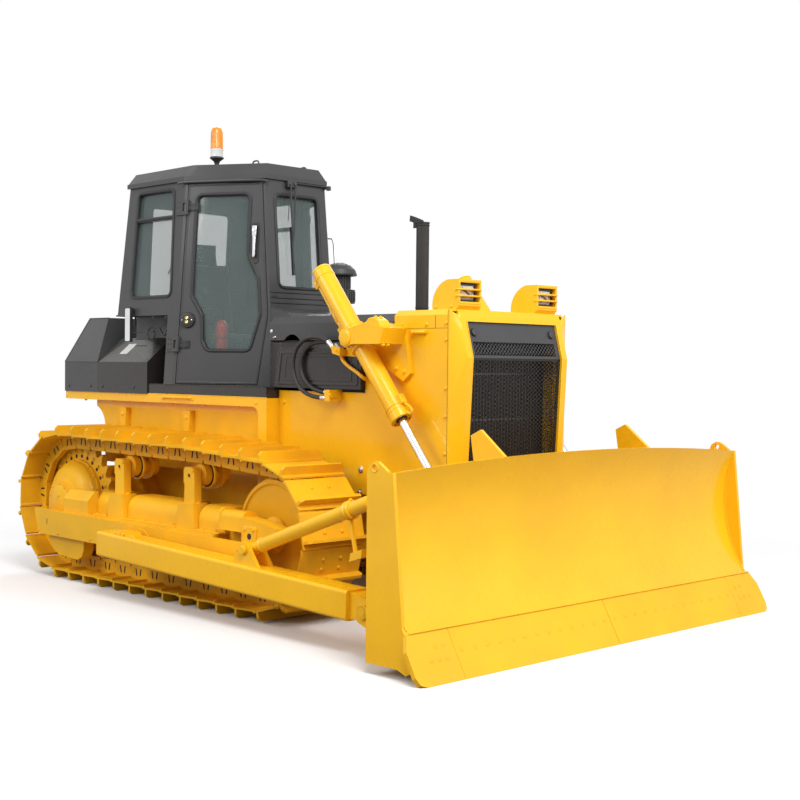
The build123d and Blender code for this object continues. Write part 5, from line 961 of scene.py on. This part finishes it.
def grille_sheet():
    """The perforated sheet below the bend, three rows of holes above it and the bare top plate."""
    low_out, top_out = (1, 0, -GUARD_SLOPE_LOW), (1, 0, -GUARD_SLOPE_TOP)
    bend = (grille_x(GUARD_BEND[1]), 0, GUARD_BEND[1])

    def strips(shape, place, rows):
        for u0, u1, v0, v1 in rows:
            shape.prism(place, [(u0, v0), (u1, v0), (u1, v1), (u0, v1)], -4, 0.6)

    sheet, low = Shape(), frame_at(bend, low_out)
    perforated(sheet, low, 22, 53, (19.5, 13.7), (13.2, 9.2), -724)
    strips(sheet, low, ((-409, -GRILLE_HALF, -742, 0), (409, GRILLE_HALF, -742, 0),
                        (-GRILLE_HALF, GRILLE_HALF, -745, -722), (-GRILLE_HALF, GRILLE_HALF, -14, 0)))
    sheet.finish("grille_mesh", "mesh", smooth=30)

    plate, top = Shape(), frame_at(bend, top_out)
    perforated(plate, top, 26, 5, (15.6, 14.6), (10.6, 10.0), 30)
    strips(plate, top, ((-392, -GRILLE_HALF, 14, 104), (392, GRILLE_HALF, 14, 104),
                        (-GRILLE_HALF, GRILLE_HALF, 0, 16.5), (-GRILLE_HALF, GRILLE_HALF, 102.5, 256)))
    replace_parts(plate.finish("grille_plate", "panel", smooth=30), "grille")

    knobs = Shape()
    for y in (-372, 372):
        knobs.turned(frame_at((grille_x(1846), y, 1846), top_out),
                     ((-2, 27), (3, 27), (6, 25), (8, 25), (15, 23), (17, 18)), 32)
    knobs.finish("grille_knobs", "plastic")

    core = Shape()
    for i in range(30):
        y = -420 + 840 * i / 29
        core.slab((1590.5, 1594), (y - 3, y + 3), (900, 1890), 1.5)
    for z in (1010, 1300, 1590, 1880):
        core.slab((1588, 1598), (-430, 430), (z - 7, z + 7), 3)
    core.finish("radiator_core", "dark_steel")

    # the lip round the opening, and the bolts down the guard's sides
    guard = Shape()
    front = frame_at((GUARD_BEND[0], 0, GUARD_BEND[1]), low_out)
    feet = [front @ Vector((u, -740, 0)) for u in (-432, 432)]
    for u, foot in zip((-432, 432), feet):
        guard.tube([foot, front @ Vector((u, 0, 0)), Vector((1692, u, 1913))], 3.5, 8, 1)
    guard.tube(feet, 3.5, 8, 1)
    guard.bolts((side_frame(1641, side * BODY_Y, z) for side in (-1, 1) for z in (1798, 1330, 900, 1900, 1500, 1100)),
                8, 7)
    guard.finish("guard_fixings", "yellow")


grille_sheet()


# ------------------------------------------------------------------ hood, panels and lamps
def hood_details():
    """Screws, seams, latch lug, hood arch lip and the covers' raised edges."""
    seams = Shape()
    for side in (-1, 1):
        for x, z in (((1548, 1551), (1872, 1950)), ((1190, 1655), (1868.6, 1870.6)), ((52, 925), (1459, 1461)),
                     ((1653.6, 1656), (802, 1980)), ((1188, 1190.6), (1806, 1915))):
            seams.slab(x, (side * BODY_Y - 0.8, side * BODY_Y + 0.8), z, 0.3)
    seams.finish("panel_seams", "hole")

    def on_body(*spots):
        return [side_frame(x, -BODY_Y, z) for x, z in spots]

    screws = Shape()
    screws.bolts(on_body((1258, 1893), (1472, 1893)), 9, 7)
    screws.turned(front_frame(1385, -574, 1846), ((-28, 6), (0, 7), (4, 12), (84, 13), (92, 9)), 20)
    screws.turned(side_frame(1455, -BODY_Y, 1846), ((-1, 20), (3, 20), (14, 15)), 20)
    screws.turned(front_frame(1370, -574, 1846), ((-12, 10), (-8, 13), (4, 13), (8, 10)), 20)
    screws.bolts(on_body((674, 955), (110, 860), (110, 1380), (1600, 860)), 11, 8)
    screws.mirrored().finish("panel_screws", "yellow")

    plated = Shape()
    plated.bolts(on_body((892, 959), (887, 812), (1250, 700), (1350, 655), (1590, 660), (1590, 760), (1220, 780)),
                 15, 13)
    plated.bolts(on_body((-35, 1868), (373, 1822)), 8, 6)
    plated.turned(frame_at((-12, -563, 1822), (1, 0.0, 0.2)), ((0, 5), (3, 7), (32, 7), (35, 5)), 14)
    plated.mirrored().finish("panel_bolts", "zinc")

    edges = Shape()
    arch = [math.radians(39 + 102 * i / 12) for i in range(13)]
    edges.tube([(190 + 112 * math.cos(t), -BODY_Y, 1735 + 112 * math.sin(t)) for t in arch], 5, 8, 1)
    for rear, front in ((-58, 104), (276, 1186)):
        edges.tube([(rear, -561, 1806), (front, -561, 1806)], 3.5, 8, 1)
    edges.mirrored().finish("hood_edges", "grey")

    # two raised frames on each engine cover, and its buttons
    cover = Shape()
    face = side_frame(0, -COVER_Y, 0)
    cover.band(face, rounded([(80, 1500), (900, 1500), (900, 1728), (118, 1728)], 22),
               ((0, -2), (0, 3), (-4, 5), (-14, 5), (-18, 3), (-18, -2)))
    cover.band(face, rounded([(150, 1530), (840, 1530), (840, 1700), (180, 1700)], 18),
               ((0, -2), (0, 2), (-3, 3), (-9, 3), (-12, 1), (-12, -2)))
    for x in (100, 890):
        for z in (1512, 1716):
            cover.button(side_frame(x, -COVER_Y, z), 7, 4)
    cover.mirrored().finish("cover_frames", "black")


def lamp_details():
    """Frames, ribbed glass and shells of the two work lamps on the hood."""
    frames, glass, shells = Shape(), Shape(), Shape()
    for side in (-1, 1):
        y = side * LAMP_Y
        for z in (2070, 2110):
            frames.tube([(1640, y - 108, z), (1672, y - 100, z), (1672, y + 100, z), (1640, y + 108, z)], 6, 10)
        frames.band(front_frame(1661, y, 2103), rounded([(-88, -68), (88, -68), (88, 50), (-88, 50)], 8),
                    ((0, 0.4), (4, 3), (12, 3), (15, 0.4)))
        frames.bolts((frame_at((1652, y + dy, 2012), (1, 0, 0.4)) for dy in (-80, 80)), 6, 5, washer=False)
        frames.bolts((side_frame(x, side * 476, 2004) for x in (1470, 1600)), 8, 6)
        for dy in (-103, 103):
            frames.tube([(1445, y + dy, 1987), (1640, y + dy, 1987)], 4, 8, 1)
    frames.finish("lamp_frames", "yellow")
    for side in (-1, 1):
        y = side * LAMP_Y
        face = front_frame(1622, y, 2092)
        outline = pad(66, 44, 10)
        glass.rings([[face @ Vector((*p, w)) for p in moved_out(outline, out)]
                     for w, out in ((1, 0), (7, 0), (11, -6), (13, -24))])
        for i in range(11):
            u = -55 + 110 * i / 10
            glass.tube([face @ Vector((u, -36, 12.5)), face @ Vector((u, 36, 12.5))], 1.6, 6, 1)
        shells.band(face, pad(78, 56, 12), ((0, 0), (0, 14), (-4, 17), (-10, 17), (-13, 8)))
        shells.turned(front_frame(1560, y, 2092), ((-20, 30), (-10, 52), (20, 66), (60, 76)), 28)
    glass.finish("lamp_glass", "white", slot="lamp_lens")
    shells.finish("lamp_shells", "plastic")


hood_details()
lamp_details()


# ------------------------------------------------------------------ cab
BEACON_X, CLEANER_X, STACK_X = -1425, 46, 880
CAB_FLOOR = ((-320, 310), (-1046, 686), (-1864, 686))
CAB_EAVES = ((-455, 285), (-1028, 582), (-1761, 582))
FLOOR_Z, EAVES_Z = 1480, 2995
DOOR_WINDOW = [
    (160, 1412), (598, 1412), (590, 1140), (590, 960), (676, 790), (700, 520), (622, 255), (275, 255), (238, 330),
    (228, 520), (140, 660),
]
DOOR_OUTLINE = [(34, 10), (690, 10), (757, 510), (684, 1488), (92, 1488)]


def wall_frame(a_floor, b_floor, a_eaves):
    """A frame on a sloping wall: origin at its rear foot, u along its foot, v up, w out."""
    origin = Vector((*a_floor, FLOOR_Z))
    u = Vector((b_floor[0] - a_floor[0], b_floor[1] - a_floor[1], 0)).normalized()
    rise = Vector((a_eaves[0] - a_floor[0], a_eaves[1] - a_floor[1], EAVES_Z - FLOOR_Z))
    out = u.cross(rise).normalized()
    v = out.cross(u)
    matrix = Matrix((u, v, out)).transposed().to_4x4()
    matrix.translation = origin
    return matrix


FLIP = Matrix.Diagonal((1, -1, 1, 1))


def right_point(corner):
    return (corner[0], -corner[1])


DOOR_FRAME = wall_frame(right_point(CAB_FLOOR[1]), right_point(CAB_FLOOR[0]), right_point(CAB_EAVES[1]))
SIDE_WALL = wall_frame(right_point(CAB_FLOOR[2]), right_point(CAB_FLOOR[1]), right_point(CAB_EAVES[2]))
FRONT_WALL = wall_frame(right_point(CAB_FLOOR[0]), CAB_FLOOR[0], (CAB_EAVES[0][0], -CAB_FLOOR[0][1]))
REAR_WALL = wall_frame(CAB_FLOOR[2], right_point(CAB_FLOOR[2]), (CAB_EAVES[2][0], CAB_FLOOR[2][1]))
FRONT_MIDDLE, REAR_MIDDLE = CAB_FLOOR[0][1], CAB_FLOOR[2][1]  # u of the machine's middle on each wall
SEAL = ((12, -6), (12, 5), (7, 9), (-4, 9), (-10, 5), (-13, -2), (-13, -14), (-2, -14))


def on_side_wall(x, z):
    """(u, v) on the side wall of a point at (x, z)."""
    lean = (CAB_EAVES[2][1] - CAB_FLOOR[2][1]) / (EAVES_Z - FLOOR_Z)
    point = SIDE_WALL.inverted() @ Vector((x, -(CAB_FLOOR[2][1] + lean * (z - FLOOR_Z)), z))
    return (point.x, point.y)


def placed(shape, side):
    """Turns a right-hand shape into its left-hand copy."""
    if side > 0:
        for vert in shape.bm.verts:
            vert.co.y = -vert.co.y
        bmesh.ops.reverse_faces(shape.bm, faces=shape.bm.faces[:])
    return shape


def window_seals():
    """Rubber round every pane."""
    def pane(wall, middle, half, bottom, top):
        low, high = bottom - FLOOR_Z, top - FLOOR_Z
        corners = [(middle - half, low), (middle + half, low), (middle + half, high), (middle - half, high)]
        fixed.band(wall, rounded(corners, 55, 6), SEAL)

    fixed = Shape()
    side_glass = [on_side_wall(x, z) for x, z in ((-1664, 2140), (-1640, 2948), (-1165, 2948), (-1128, 2140))]
    fixed.band(SIDE_WALL, rounded(side_glass, 55, 6), SEAL)
    fixed.tube([SIDE_WALL @ Vector((*on_side_wall(x, 2737), 0)) for x in (-1655, -1155)], 11, 10, 1)
    fixed.mirrored()
    pane(FRONT_WALL, FRONT_MIDDLE, 208, 2205, 2895)
    pane(REAR_WALL, REAR_MIDDLE, 390, 2120, 2880)
    fixed.finish("window_seals", "gasket", smooth=50)
    for side, which in SIDES:
        seal = Shape()
        seal.band(DOOR_FRAME, rounded(DOOR_WINDOW, 60, 6), SEAL)
        placed(seal, side).finish(f"door_window_seal_{which}", "gasket", f"door_{which}", smooth=50)


def door_details():
    """Handle, lock, hinge bolts and pressed edge, on each door."""
    def on_door(u, v, w):
        return DOOR_FRAME @ Matrix.Translation((u, v, w))

    lock_u, lock_v = 118, 480
    edge_foot = DOOR_OUTLINE[0]
    lean = (DOOR_OUTLINE[4][0] - edge_foot[0]) / (DOOR_OUTLINE[4][1] - edge_foot[1])
    for side, which in SIDES:
        body = f"door_{which}"
        recess = Shape()
        recess.band(DOOR_FRAME, rounded([(606, 900), (672, 890), (676, 1200), (606, 1190)], 26, 5),
                    ((0, -1), (1, 3), (-6, 5), (-14, 3), (-16, -1)))
        recess.turned(on_door(lock_u, lock_v, 16), ((-17, 58), (-3, 58), (2, 54), (3, 40), (6, 36)), 40)
        recess.prism(DOOR_FRAME, rounded([(612, 905), (666, 896), (668, 1192), (612, 1184)], 20, 4), -1, 1.5)
        placed(recess, side).finish(f"door_recess_{which}", "gasket", body)

        bright = Shape()
        bright.prism(DOOR_FRAME, rounded([(624, 1090), (656, 1090), (658, 1172), (622, 1172)], 9, 4), 14, 24, 3)
        bright.prism(DOOR_FRAME, rounded([(630, 938), (650, 938), (652, 1096), (628, 1096)], 8, 4), 14, 27, 4)
        bright.turned(on_door(640, 1134, 24), ((-1, 12), (3, 12), (4, 8)), 20)
        for du in (-38, 38):
            bright.turned(on_door(lock_u + du, lock_v, 18), ((0, 6), (2, 6), (3.5, 4)), 14)
        placed(bright, side).finish(f"door_handle_{which}", "chrome", body)
        lock = Shape()
        for dv in (-15, 15):
            lock.turned(on_door(lock_u, lock_v + dv, 21), ((-1, 13), (5, 13), (7, 10), (6, 5)), 20)
        placed(lock, side).finish(f"door_lock_{which}", "brass", body)

        moving, still = Shape(), Shape()
        for place in (290, 1310):
            u, v = edge_foot[0] + place * lean, edge_foot[1] + place
            leaf = [(u + 4, v - 27), (u + 92, v - 27), (u + 92, v + 27), (u + 4, v + 27)]
            moving.prism(DOOR_FRAME, rounded(leaf, 5, 2), 8, 12.5, 1.5)
            for du, dv in ((30, -14), (30, 14), (74, -14), (74, 14)):
                moving.button(on_door(u + du, v + dv, 12), 8, 5)
            for dv in (-38, 0, 38):
                for du in (-92, -58):
                    at = DOOR_FRAME @ Vector((u, v + dv, 0))
                    spot = SIDE_WALL.inverted() @ (at + Vector((du, 0, 0)))
                    still.button(SIDE_WALL @ Matrix.Translation((spot.x, spot.y, 9)), 8, 6)
        placed(moving, side).finish(f"door_hinge_bolts_{which}", "gasket", body)
        placed(still, side).finish(f"hinge_bolts_{which}", "gasket")

        edge = Shape()
        edge.band(DOOR_FRAME, rounded(moved_out(DOOR_OUTLINE, -9), 10, 3),
                  ((3, -2), (3, 1.5), (0, 3), (-4, 1.5), (-5, -2)))
        placed(edge, side).finish(f"door_edge_{which}", "grey", body)


def wiper_set():
    """Two parallel arms from the motor above the windshield, and its blade."""
    def on_glass(y, z, lift):
        return FRONT_WALL @ Vector((FRONT_MIDDLE + y, z - FLOOR_Z, lift))

    def on_rear(y, z, lift):
        return REAR_WALL @ Vector((REAR_MIDDLE - y, z - FLOOR_Z, lift))

    ahead, behind = FRONT_WALL.col[2].xyz, REAR_WALL.col[2].xyz
    wiper = Shape()
    wiper.prism(frame_at(on_glass(-60, 2972, 4), ahead), rounded([(-46, -26), (46, -26), (40, 30), (-40, 30)], 10),
                -2, 34, 6)
    for y in (-82, -36):
        wiper.turned(frame_at(on_glass(y, 2975, 34), ahead), ((0, 15), (10, 15), (14, 9)), 20)
    wiper.tube([on_glass(-82, 2985, 44), on_glass(-84, 2900, 40), on_glass(-74, 2560, 30)], 5, 8)
    wiper.tube([on_glass(-36, 2985, 44), on_glass(-40, 2900, 40), on_glass(-66, 2570, 30)], 4.5, 8)
    wiper.tube([on_glass(-60, 2985, 40), on_glass(-92, 2860, 30), on_glass(-112, 2700, 26)], 3, 8)
    wiper.tube([on_glass(-70, 2640, 26), on_glass(-70, 2560, 20)], 9, 8, 1)
    wiper.tube([on_glass(-70, z, 15) for z in (2660, 2480, 2300)], 7, 6, 1)
    wiper.prism(frame_at(on_glass(-70, 2480, 0), ahead), [(-2.5, -180), (2.5, -180), (2.5, 180), (-2.5, 180)], -8, 14)
    for z in (2580, 2380):
        for dz in (50, -50):
            wiper.tube([on_glass(-70, z, 26), on_glass(-70, z + dz, 14)], 4, 8, 1)
    wiper.finish("windshield_wiper", "plastic")

    bar = Shape()
    bar.tube([on_glass(-20, 2990, 12), on_glass(292, 2990, 18), on_glass(318, 2986, 18)], 7, 8, 1)
    bar.prism(frame_at(on_glass(312, 2984, 18), ahead), rounded([(-14, -18), (14, -18), (14, 14), (-14, 14)], 5),
              -12, 14, 3)
    # sill ledges and a small plate under the windshield
    for z in (2168, 2128, 2090):
        bar.tube([on_glass(-292, z, 1), on_glass(292, z, 1)], 5, 8, 1)
    bar.prism(frame_at(on_glass(-250, 2146, 0), ahead), pad(26, 14, 4), -2, 5, 2)
    # rear wiper
    bar.prism(frame_at(on_rear(0, 2940, 0), behind), pad(44, 24, 10), -2, 30, 6)
    bar.tube([on_rear(0, 2930, 34), on_rear(-60, 2700, 28), on_rear(-120, 2500, 18)], 5, 8)
    bar.tube([on_rear(-60, 2640, 16), on_rear(-180, 2360, 16)], 6, 6, 1)
    bar.finish("cab_rods", "plastic")

    rail = Shape()
    rail.tube([FLIP @ DOOR_FRAME @ Vector((728, v, w))
               for v, w in ((820, 6), (820, 40), (860, 52), (1080, 52), (1120, 40), (1120, 6))], 9, 12)
    rail.finish("grab_rail", "chrome")


def roof_details():
    """Gutters, lifting loops, beacon, the pre-cleaner's ribs and the stack's rings."""
    def ring_point(x, r, t, z):
        return Vector((x + r * math.cos(t), r * math.sin(t), z))

    gutter = Shape()
    gutter.tube([DOOR_FRAME @ Vector(p) for p in ((10, 1500, 14), (60, 1506, 22), (690, 1506, 22), (742, 1490, 14))],
                10, 10)
    gutter.mirrored().finish("door_gutters", "grey")
    loops = Shape()
    for x, y, h in ((-1690, -330, 36), (-1690, 330, 36), (-1475, 40, 62), (-640, -230, 32), (-640, 230, 32)):
        loops.tube([(x + dx, y, 3098 + rise) for dx, rise in ((-34, 0), (-34, 16 + h), (34, 16 + h), (34, 0))], 6, 10)
    loops.finish("roof_loops", "grey")

    stem, stand = Shape(), standing(BEACON_X)
    stem.turned(stand, ((3108, 60), (3118, 60), (3124, 54), (3126, 20), (3150, 17), (3222, 17), (3245, 26),
                        (3262, 48), (3268, 56), (3276, 56), (3280, 48)), 40)
    stem.bolts((top_frame(*ring_point(BEACON_X, 42, t, 3120)) for t in round_turn(4, 0.5)), 6, 5, washer=False)
    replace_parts(stem.finish("beacon_stem", "plastic"), "beacon")
    base = Shape()
    base.turned(stand, ((3278, 44), (3282, 48), (3330, 50), (3336, 52), (3342, 50), (3344, 44)), 40)
    base.finish("beacon_base", "white", slot="lamp_lens")
    dome = Shape()
    dome.rings([[ring_point(BEACON_X, r + (1.6 if (i // 2) % 2 and 3358 < z < 3475 else 0), t, z)
                 for i, t in enumerate(round_turn(72))]
                for z, r in ((3340, 46), (3344, 51), (3356, 51), (3360, 49), (3470, 47), (3492, 44), (3508, 36),
                             (3517, 22), (3520, 8))])
    dome.finish("beacon_dome", "amber", smooth=25)

    cleaner, mid = Shape(), standing(CLEANER_X)
    for t in round_turn(28):
        for rib in (((108, 2090), (111, 2100), (111, 2160), (108, 2171)),
                    ((75, 2182), (77, 2192), (77, 2262), (75, 2272))):
            cleaner.tube([ring_point(CLEANER_X, r, t, z) for r, z in rib], 4, 6, 1)
    for z, r in ((2085, 110), (2175, 109), (2179, 78), (2276, 86), (2284, 122)):
        cleaner.torus(mid @ Matrix.Translation((0, 0, z)), r, 3.5, 48)
    cleaner.turned(mid, ((1968, 82), (1974, 82), (1980, 68), (1990, 66), (1996, 62)), 36)
    for t in round_turn(6):
        cleaner.tube([ring_point(CLEANER_X, 20, t, 2372), ring_point(CLEANER_X, 80, t, 2353)], 3, 6, 1)
    cleaner.finish("precleaner_ribs", "plastic")

    stack, pipe = Shape(), standing(STACK_X)
    for z in (2030, 2586):
        stack.torus(pipe @ Matrix.Translation((0, 0, z)), 45, 3.5, 40)
    stack.bolts((top_frame(*ring_point(STACK_X, 57, t, 1980)) for t in round_turn(4, 0.5)), 7, 7)
    stack.turned(pipe, ((2598, 40.5), (2598, 44.5), (2601, 42.5)), 40, ends=(False, False))
    stack.finish("stack_rings", "stack")


window_seals()
door_details()
wiper_set()
roof_details()


# ------------------------------------------------------------------ rear: boxes, tank, lamps, platform
BOX_Y = 680
EDGE_Y = -668  # the right fender's and step's outer edge
TANK_BACK = -2560
CAP_X = -2420


def box_details():
    """Rivets, the tank's and boxes' edges, the filler cap and the blank label."""
    rivets = Shape()
    for x in (-2496, -2170, -2000, -1560):
        rivets.button(side_frame(x, -BOX_Y, 1452), 15, 7)
    for y in (-600, -300, 300, 600):
        for z in (1460, 1600):
            rivets.button(back_frame(TANK_BACK, y, z), 13, 6)
    rivets.mirrored().finish("box_rivets", "black")

    trim = Shape()
    for side in (-1, 1):
        trim.tube([(-2558, side * BOX_Y, 1645), (-2067, side * BOX_Y, 1645)], 4, 8, 1)
        trim.tube([(-2272, side * 447, 2004), (-2066, side * BOX_Y, 1646)], 5, 8, 1)
        trim.tube([(-2558, side * 446, 2004), (-2274, side * 446, 2004)], 4, 8, 1)
        trim.tube([(-2558, side * 447, 2003), (-2558, side * 679, 1646)], 4, 8, 1)
    trim.tube([(-2558, -445, 2004), (-2558, 445, 2004)], 4, 8, 1)
    cap = standing(CAP_X)
    trim.turned(cap, ((2040, 60), (2046, 66), (2066, 66), (2072, 58), (2074, 30)), 40)
    for t in round_turn(16):
        trim.tube([(CAP_X + 66 * math.cos(t), 66 * math.sin(t), z) for z in (2048, 2064)], 4, 6, 1)
    trim.turned(cap, ((2003, 82), (2008, 82), (2011, 76)), 40)
    # the door's outline on the tank's back
    trim.band(back_frame(TANK_BACK, 0, 0),
              rounded([(-300, -1900), (300, -1900), (300, -1500), (-300, -1500)], 30, 5),
              ((0, -1), (0, 3), (-5, 5), (-12, 3), (-14, -1)))
    trim.finish("tank_trim", "grey", smooth=50)

    label = Shape()
    slope = (1835 - 1645) / (BOX_Y - 457)
    spot = frame_at((-1815, -560, 1645 + slope * 120), Vector((0, -slope, 1)).normalized(), (1, 0, 0))
    label.prism(spot, pad(52, 62, 5, 3), -1, 1.6, 0.5)
    label.finish("blank_label", "label")


def fender_details():
    """Handles, beads and bolts of the fenders, and the steps' tread strips."""
    grip = Shape()
    grip.tube([(-1175, EDGE_Y, 1388), (-1165, EDGE_Y - 20, 1386), (-820, EDGE_Y - 20, 1386), (-810, EDGE_Y, 1388)],
              9, 10)
    for x in (-1200, -845):
        grip.slab((x, x + 60), (EDGE_Y - 8, EDGE_Y), (1368, 1398), 4)
    for x in (-2540, -60):
        grip.turned(side_frame(x, -670, 1373), ((-1, 14), (3, 14), (6, 10)), 20)
    grip.tube([(-2556, EDGE_Y, 1406), (50, EDGE_Y, 1406)], 4, 8, 1)
    grip.bolts((frame_at((x, -640, 1341), (0, 0, -1)) for x in (-2300, -1900, -1500, -1100, -700, -300)), 10, 8)
    grip.bolts((side_frame(x, -645, z) for x in (-1758, -915) for z in (1000, 1130, 1240)), 10, 8)
    grip.mirrored().finish("fender_fixings", "yellow")

    tread = Shape()
    for row in range(2):
        for column in range(30):
            x, y = -1350 + column * 44 + row * 22, -652 + row * 26
            if x < 30:
                tread.slab((x - 11, x + 11), (y - 4, y + 4), (1479.5, 1484.5), 2)
    tread.tube([(-1370, EDGE_Y, 1478), (46, EDGE_Y, 1478)], 4, 8, 1)
    tread.mirrored().finish("step_treads", "black")


def rear_fittings():
    """Rear lamps, the intake pipe's ribs and clamps, and the small mirror in the right recess."""
    lamps, lenses = Shape(), Shape()
    for side in (-1, 1):
        for z in (2132, 2247):
            face = back_frame(-1985, side * 410, z)
            lamps.band(face, pad(58, 40, 10), ((0, -30), (2, 4), (-2, 12), (-8, 12), (-10, 4)))
            lenses.rings([[face @ Vector((*p, w)) for p in moved_out(pad(48, 31, 8), out)]
                          for w, out in ((-1, 0), (5, 0), (8, -5))])
            lamps.tube([(-1940, side * 352, z - 50), (-1940, side * 340, z), (-1940, side * 352, z + 50)], 5, 8)
    lamps.finish("rear_lamp_shells", "plastic")
    lenses.finish("rear_lamp_glass", "white", slot="lamp_lens")

    duct = Shape()
    for x0, x1, z in ((-1612, -1380, 1872), (-1590, -1412, 1820), (-1572, -1440, 1770)):
        duct.slab((x0, x1), (-646, -640), (z - 4, z + 4), 2)
    duct.bolts((side_frame(x, -640, z) for z in (1980, 1884) for x in (-1352, -1180)), 10, 9)
    duct.torus(side_frame(-1500, -560, 1862), 47, 5, 32)
    duct.tube([(-1655, -600, 1925), (-1655, -600, 2044), (-1626, -600, 2044)], 8, 10)
    duct.tube([(-1370, -575, 1905), (-1290, -590, 1840), (-1215, -575, 1905)], 9, 10)
    duct.finish("intake_fittings", "plastic")
    face = Shape()
    face.prism(side_frame(-1626, -692, 1932), pad(32, 126, 12, 4), -1, 2, 0.6)
    face.finish("mirror_face", "mirror")


box_details()
fender_details()
rear_fittings()


# ------------------------------------------------------------------ inside the cab
def pillow(outline_x, half_y, z, crown, channels=0):
    """A padded block: corners round, sides pulled in, faces crowned, with sewn channels across."""
    shape = Shape()
    nx, ny = 18, 20
    x0, x1 = outline_x
    z0, z1 = z

    def skin(i, j, top):
        s, t = 2 * i / nx - 1, 2 * j / ny - 1
        round_x = math.copysign(abs(s) ** 0.9, s)
        edge = (1 - abs(s) ** 4) * (1 - abs(t) ** 4)
        pull = 0.04 * (1 - abs(t)) * abs(s) ** 3
        x = (x0 + x1) / 2 + (x1 - x0) / 2 * (round_x - math.copysign(pull, s) * (abs(s) > 0.6))
        y = half_y * t * (1 - 0.05 * (1 - abs(s)) * abs(t) ** 3)
        swell = crown * edge
        if channels and top:
            groove = abs(((s * 0.5 + 0.5) * channels) % 1 - 0.5)
            swell -= crown * 0.5 * math.exp(-((0.5 - groove) / 0.06) ** 2) * edge
        half = (z1 - z0) / 2 * (0.55 + 0.45 * min(1.0, edge * 2.2) ** 0.5)
        zz = (z0 + z1) / 2 + (half + swell * (1 if top else 0.3)) * (1 if top else -1)
        return Vector((x, y, zz))

    top = [[shape.bm.verts.new(skin(i, j, True)) for j in range(ny + 1)] for i in range(nx + 1)]
    low = [[shape.bm.verts.new(skin(i, j, False)) for j in range(ny + 1)] for i in range(nx + 1)]
    for i in range(nx):
        for j in range(ny):
            shape.bm.faces.new((top[i][j], top[i + 1][j], top[i + 1][j + 1], top[i][j + 1]))
            shape.bm.faces.new((low[i][j + 1], low[i + 1][j + 1], low[i + 1][j], low[i][j]))
    rim = ([(i, 0) for i in range(nx)] + [(nx, j) for j in range(ny)] + [(i, ny) for i in range(nx, 0, -1)]
           + [(0, j) for j in range(ny, 0, -1)])
    for (i, j), (k, l) in zip(rim, rim[1:] + rim[:1]):
        shape.bm.faces.new((top[i][j], low[i][j], low[k][l], top[k][l]))
    return shape


def seat_details():
    """A padded seat: base cushion, back, headrest, armrests and its frame."""
    def upholstered(name, block, foot=None, lean=0.0):
        """One cloth block, stood up on its foot and leaned back if a foot is given."""
        if foot:
            turn = Matrix.Translation(foot) @ Matrix.Rotation(-math.pi / 2 - lean, 4, "Y")
            bmesh.ops.transform(block.bm, matrix=turn, verts=block.bm.verts[:])
        piece = block.finish(name, "cloth", smooth=180)
        return piece

    base = pillow((-1570, -1060), 240, (1752, 1860), 16, channels=4)
    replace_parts(upholstered("seat_cushion", base), "seat")
    upholstered("seat_back", pillow((0, 590), 240, (-50, 50), 18, channels=5), (-1515, 0, 1850), math.atan2(90, 590))
    upholstered("seat_headrest", pillow((0, 165), 135, (-34, 34), 12), (-1612, 0, 2432), 0.1)

    stand = Shape()
    stand.slab((-1550, -1090), (-225, 225), (1480, 1745), 20)
    for side in (-1, 1):
        stand.prism(frame_at((0, side * 331, 0), (0, side, 0), (1, 0, 0)),
                    [(x, -side * z) for x, z in
                     rounded([(-1500, 1740), (-1150, 1740), (-1085, 2020), (-1115, 2062), (-1500, 2045)], 26)],
                    -66, 66, 10)
        stand.slab((-1540, -1100), sorted((side * 225, side * 270)), (1600, 1738), 8)
        stand.tube([(-1600, side * 90, 2420), (-1604, side * 90, 2470)], 8, 8, 1)
    stand.finish("seat_frame", "plastic")

    levers = Shape()
    for y in (-360, 360):
        levers.tube([(-1120, y, 2040), (-1105, y, 2110), (-1090, y, 2150)], 9, 10)
        levers.turned(frame_at((-1088, y, 2140), (0.15, 0, 1)), ((0, 12), (14, 22), (44, 24), (62, 16), (68, 6)), 20)
    levers.finish("control_levers", "plastic")

    bottle = Shape()
    x, y = -830, -392
    stand_at = standing(x, y)
    bottle.turned(stand_at, ((1690, 40), (1694, 48), (1700, 50), (1905, 50), (1935, 44), (1955, 24), (1962, 16)), 32)
    bottle.finish("extinguisher", "red")
    fittings = Shape()
    fittings.turned(stand_at, ((1960, 14), (1975, 14), (1978, 18), (1990, 18), (1994, 12)), 20)
    fittings.tube([(x, y, 1985), (x + 40, y - 8, 2006), (x + 75, y - 13, 2010)], 6, 8)
    fittings.tube([(x, y, 1978), (x - 42, y - 4, 1960), (x - 48, y - 6, 1880), (x - 46, y - 6, 1820)], 7, 8)
    fittings.torus(stand_at @ Matrix.Translation((0, 0, 1830)), 51, 4, 32)
    fittings.slab((x - 50, x + 50), (y - 50, y + 50), (1480, 1692), 10)
    fittings.finish("extinguisher_stand", "plastic")


seat_details()
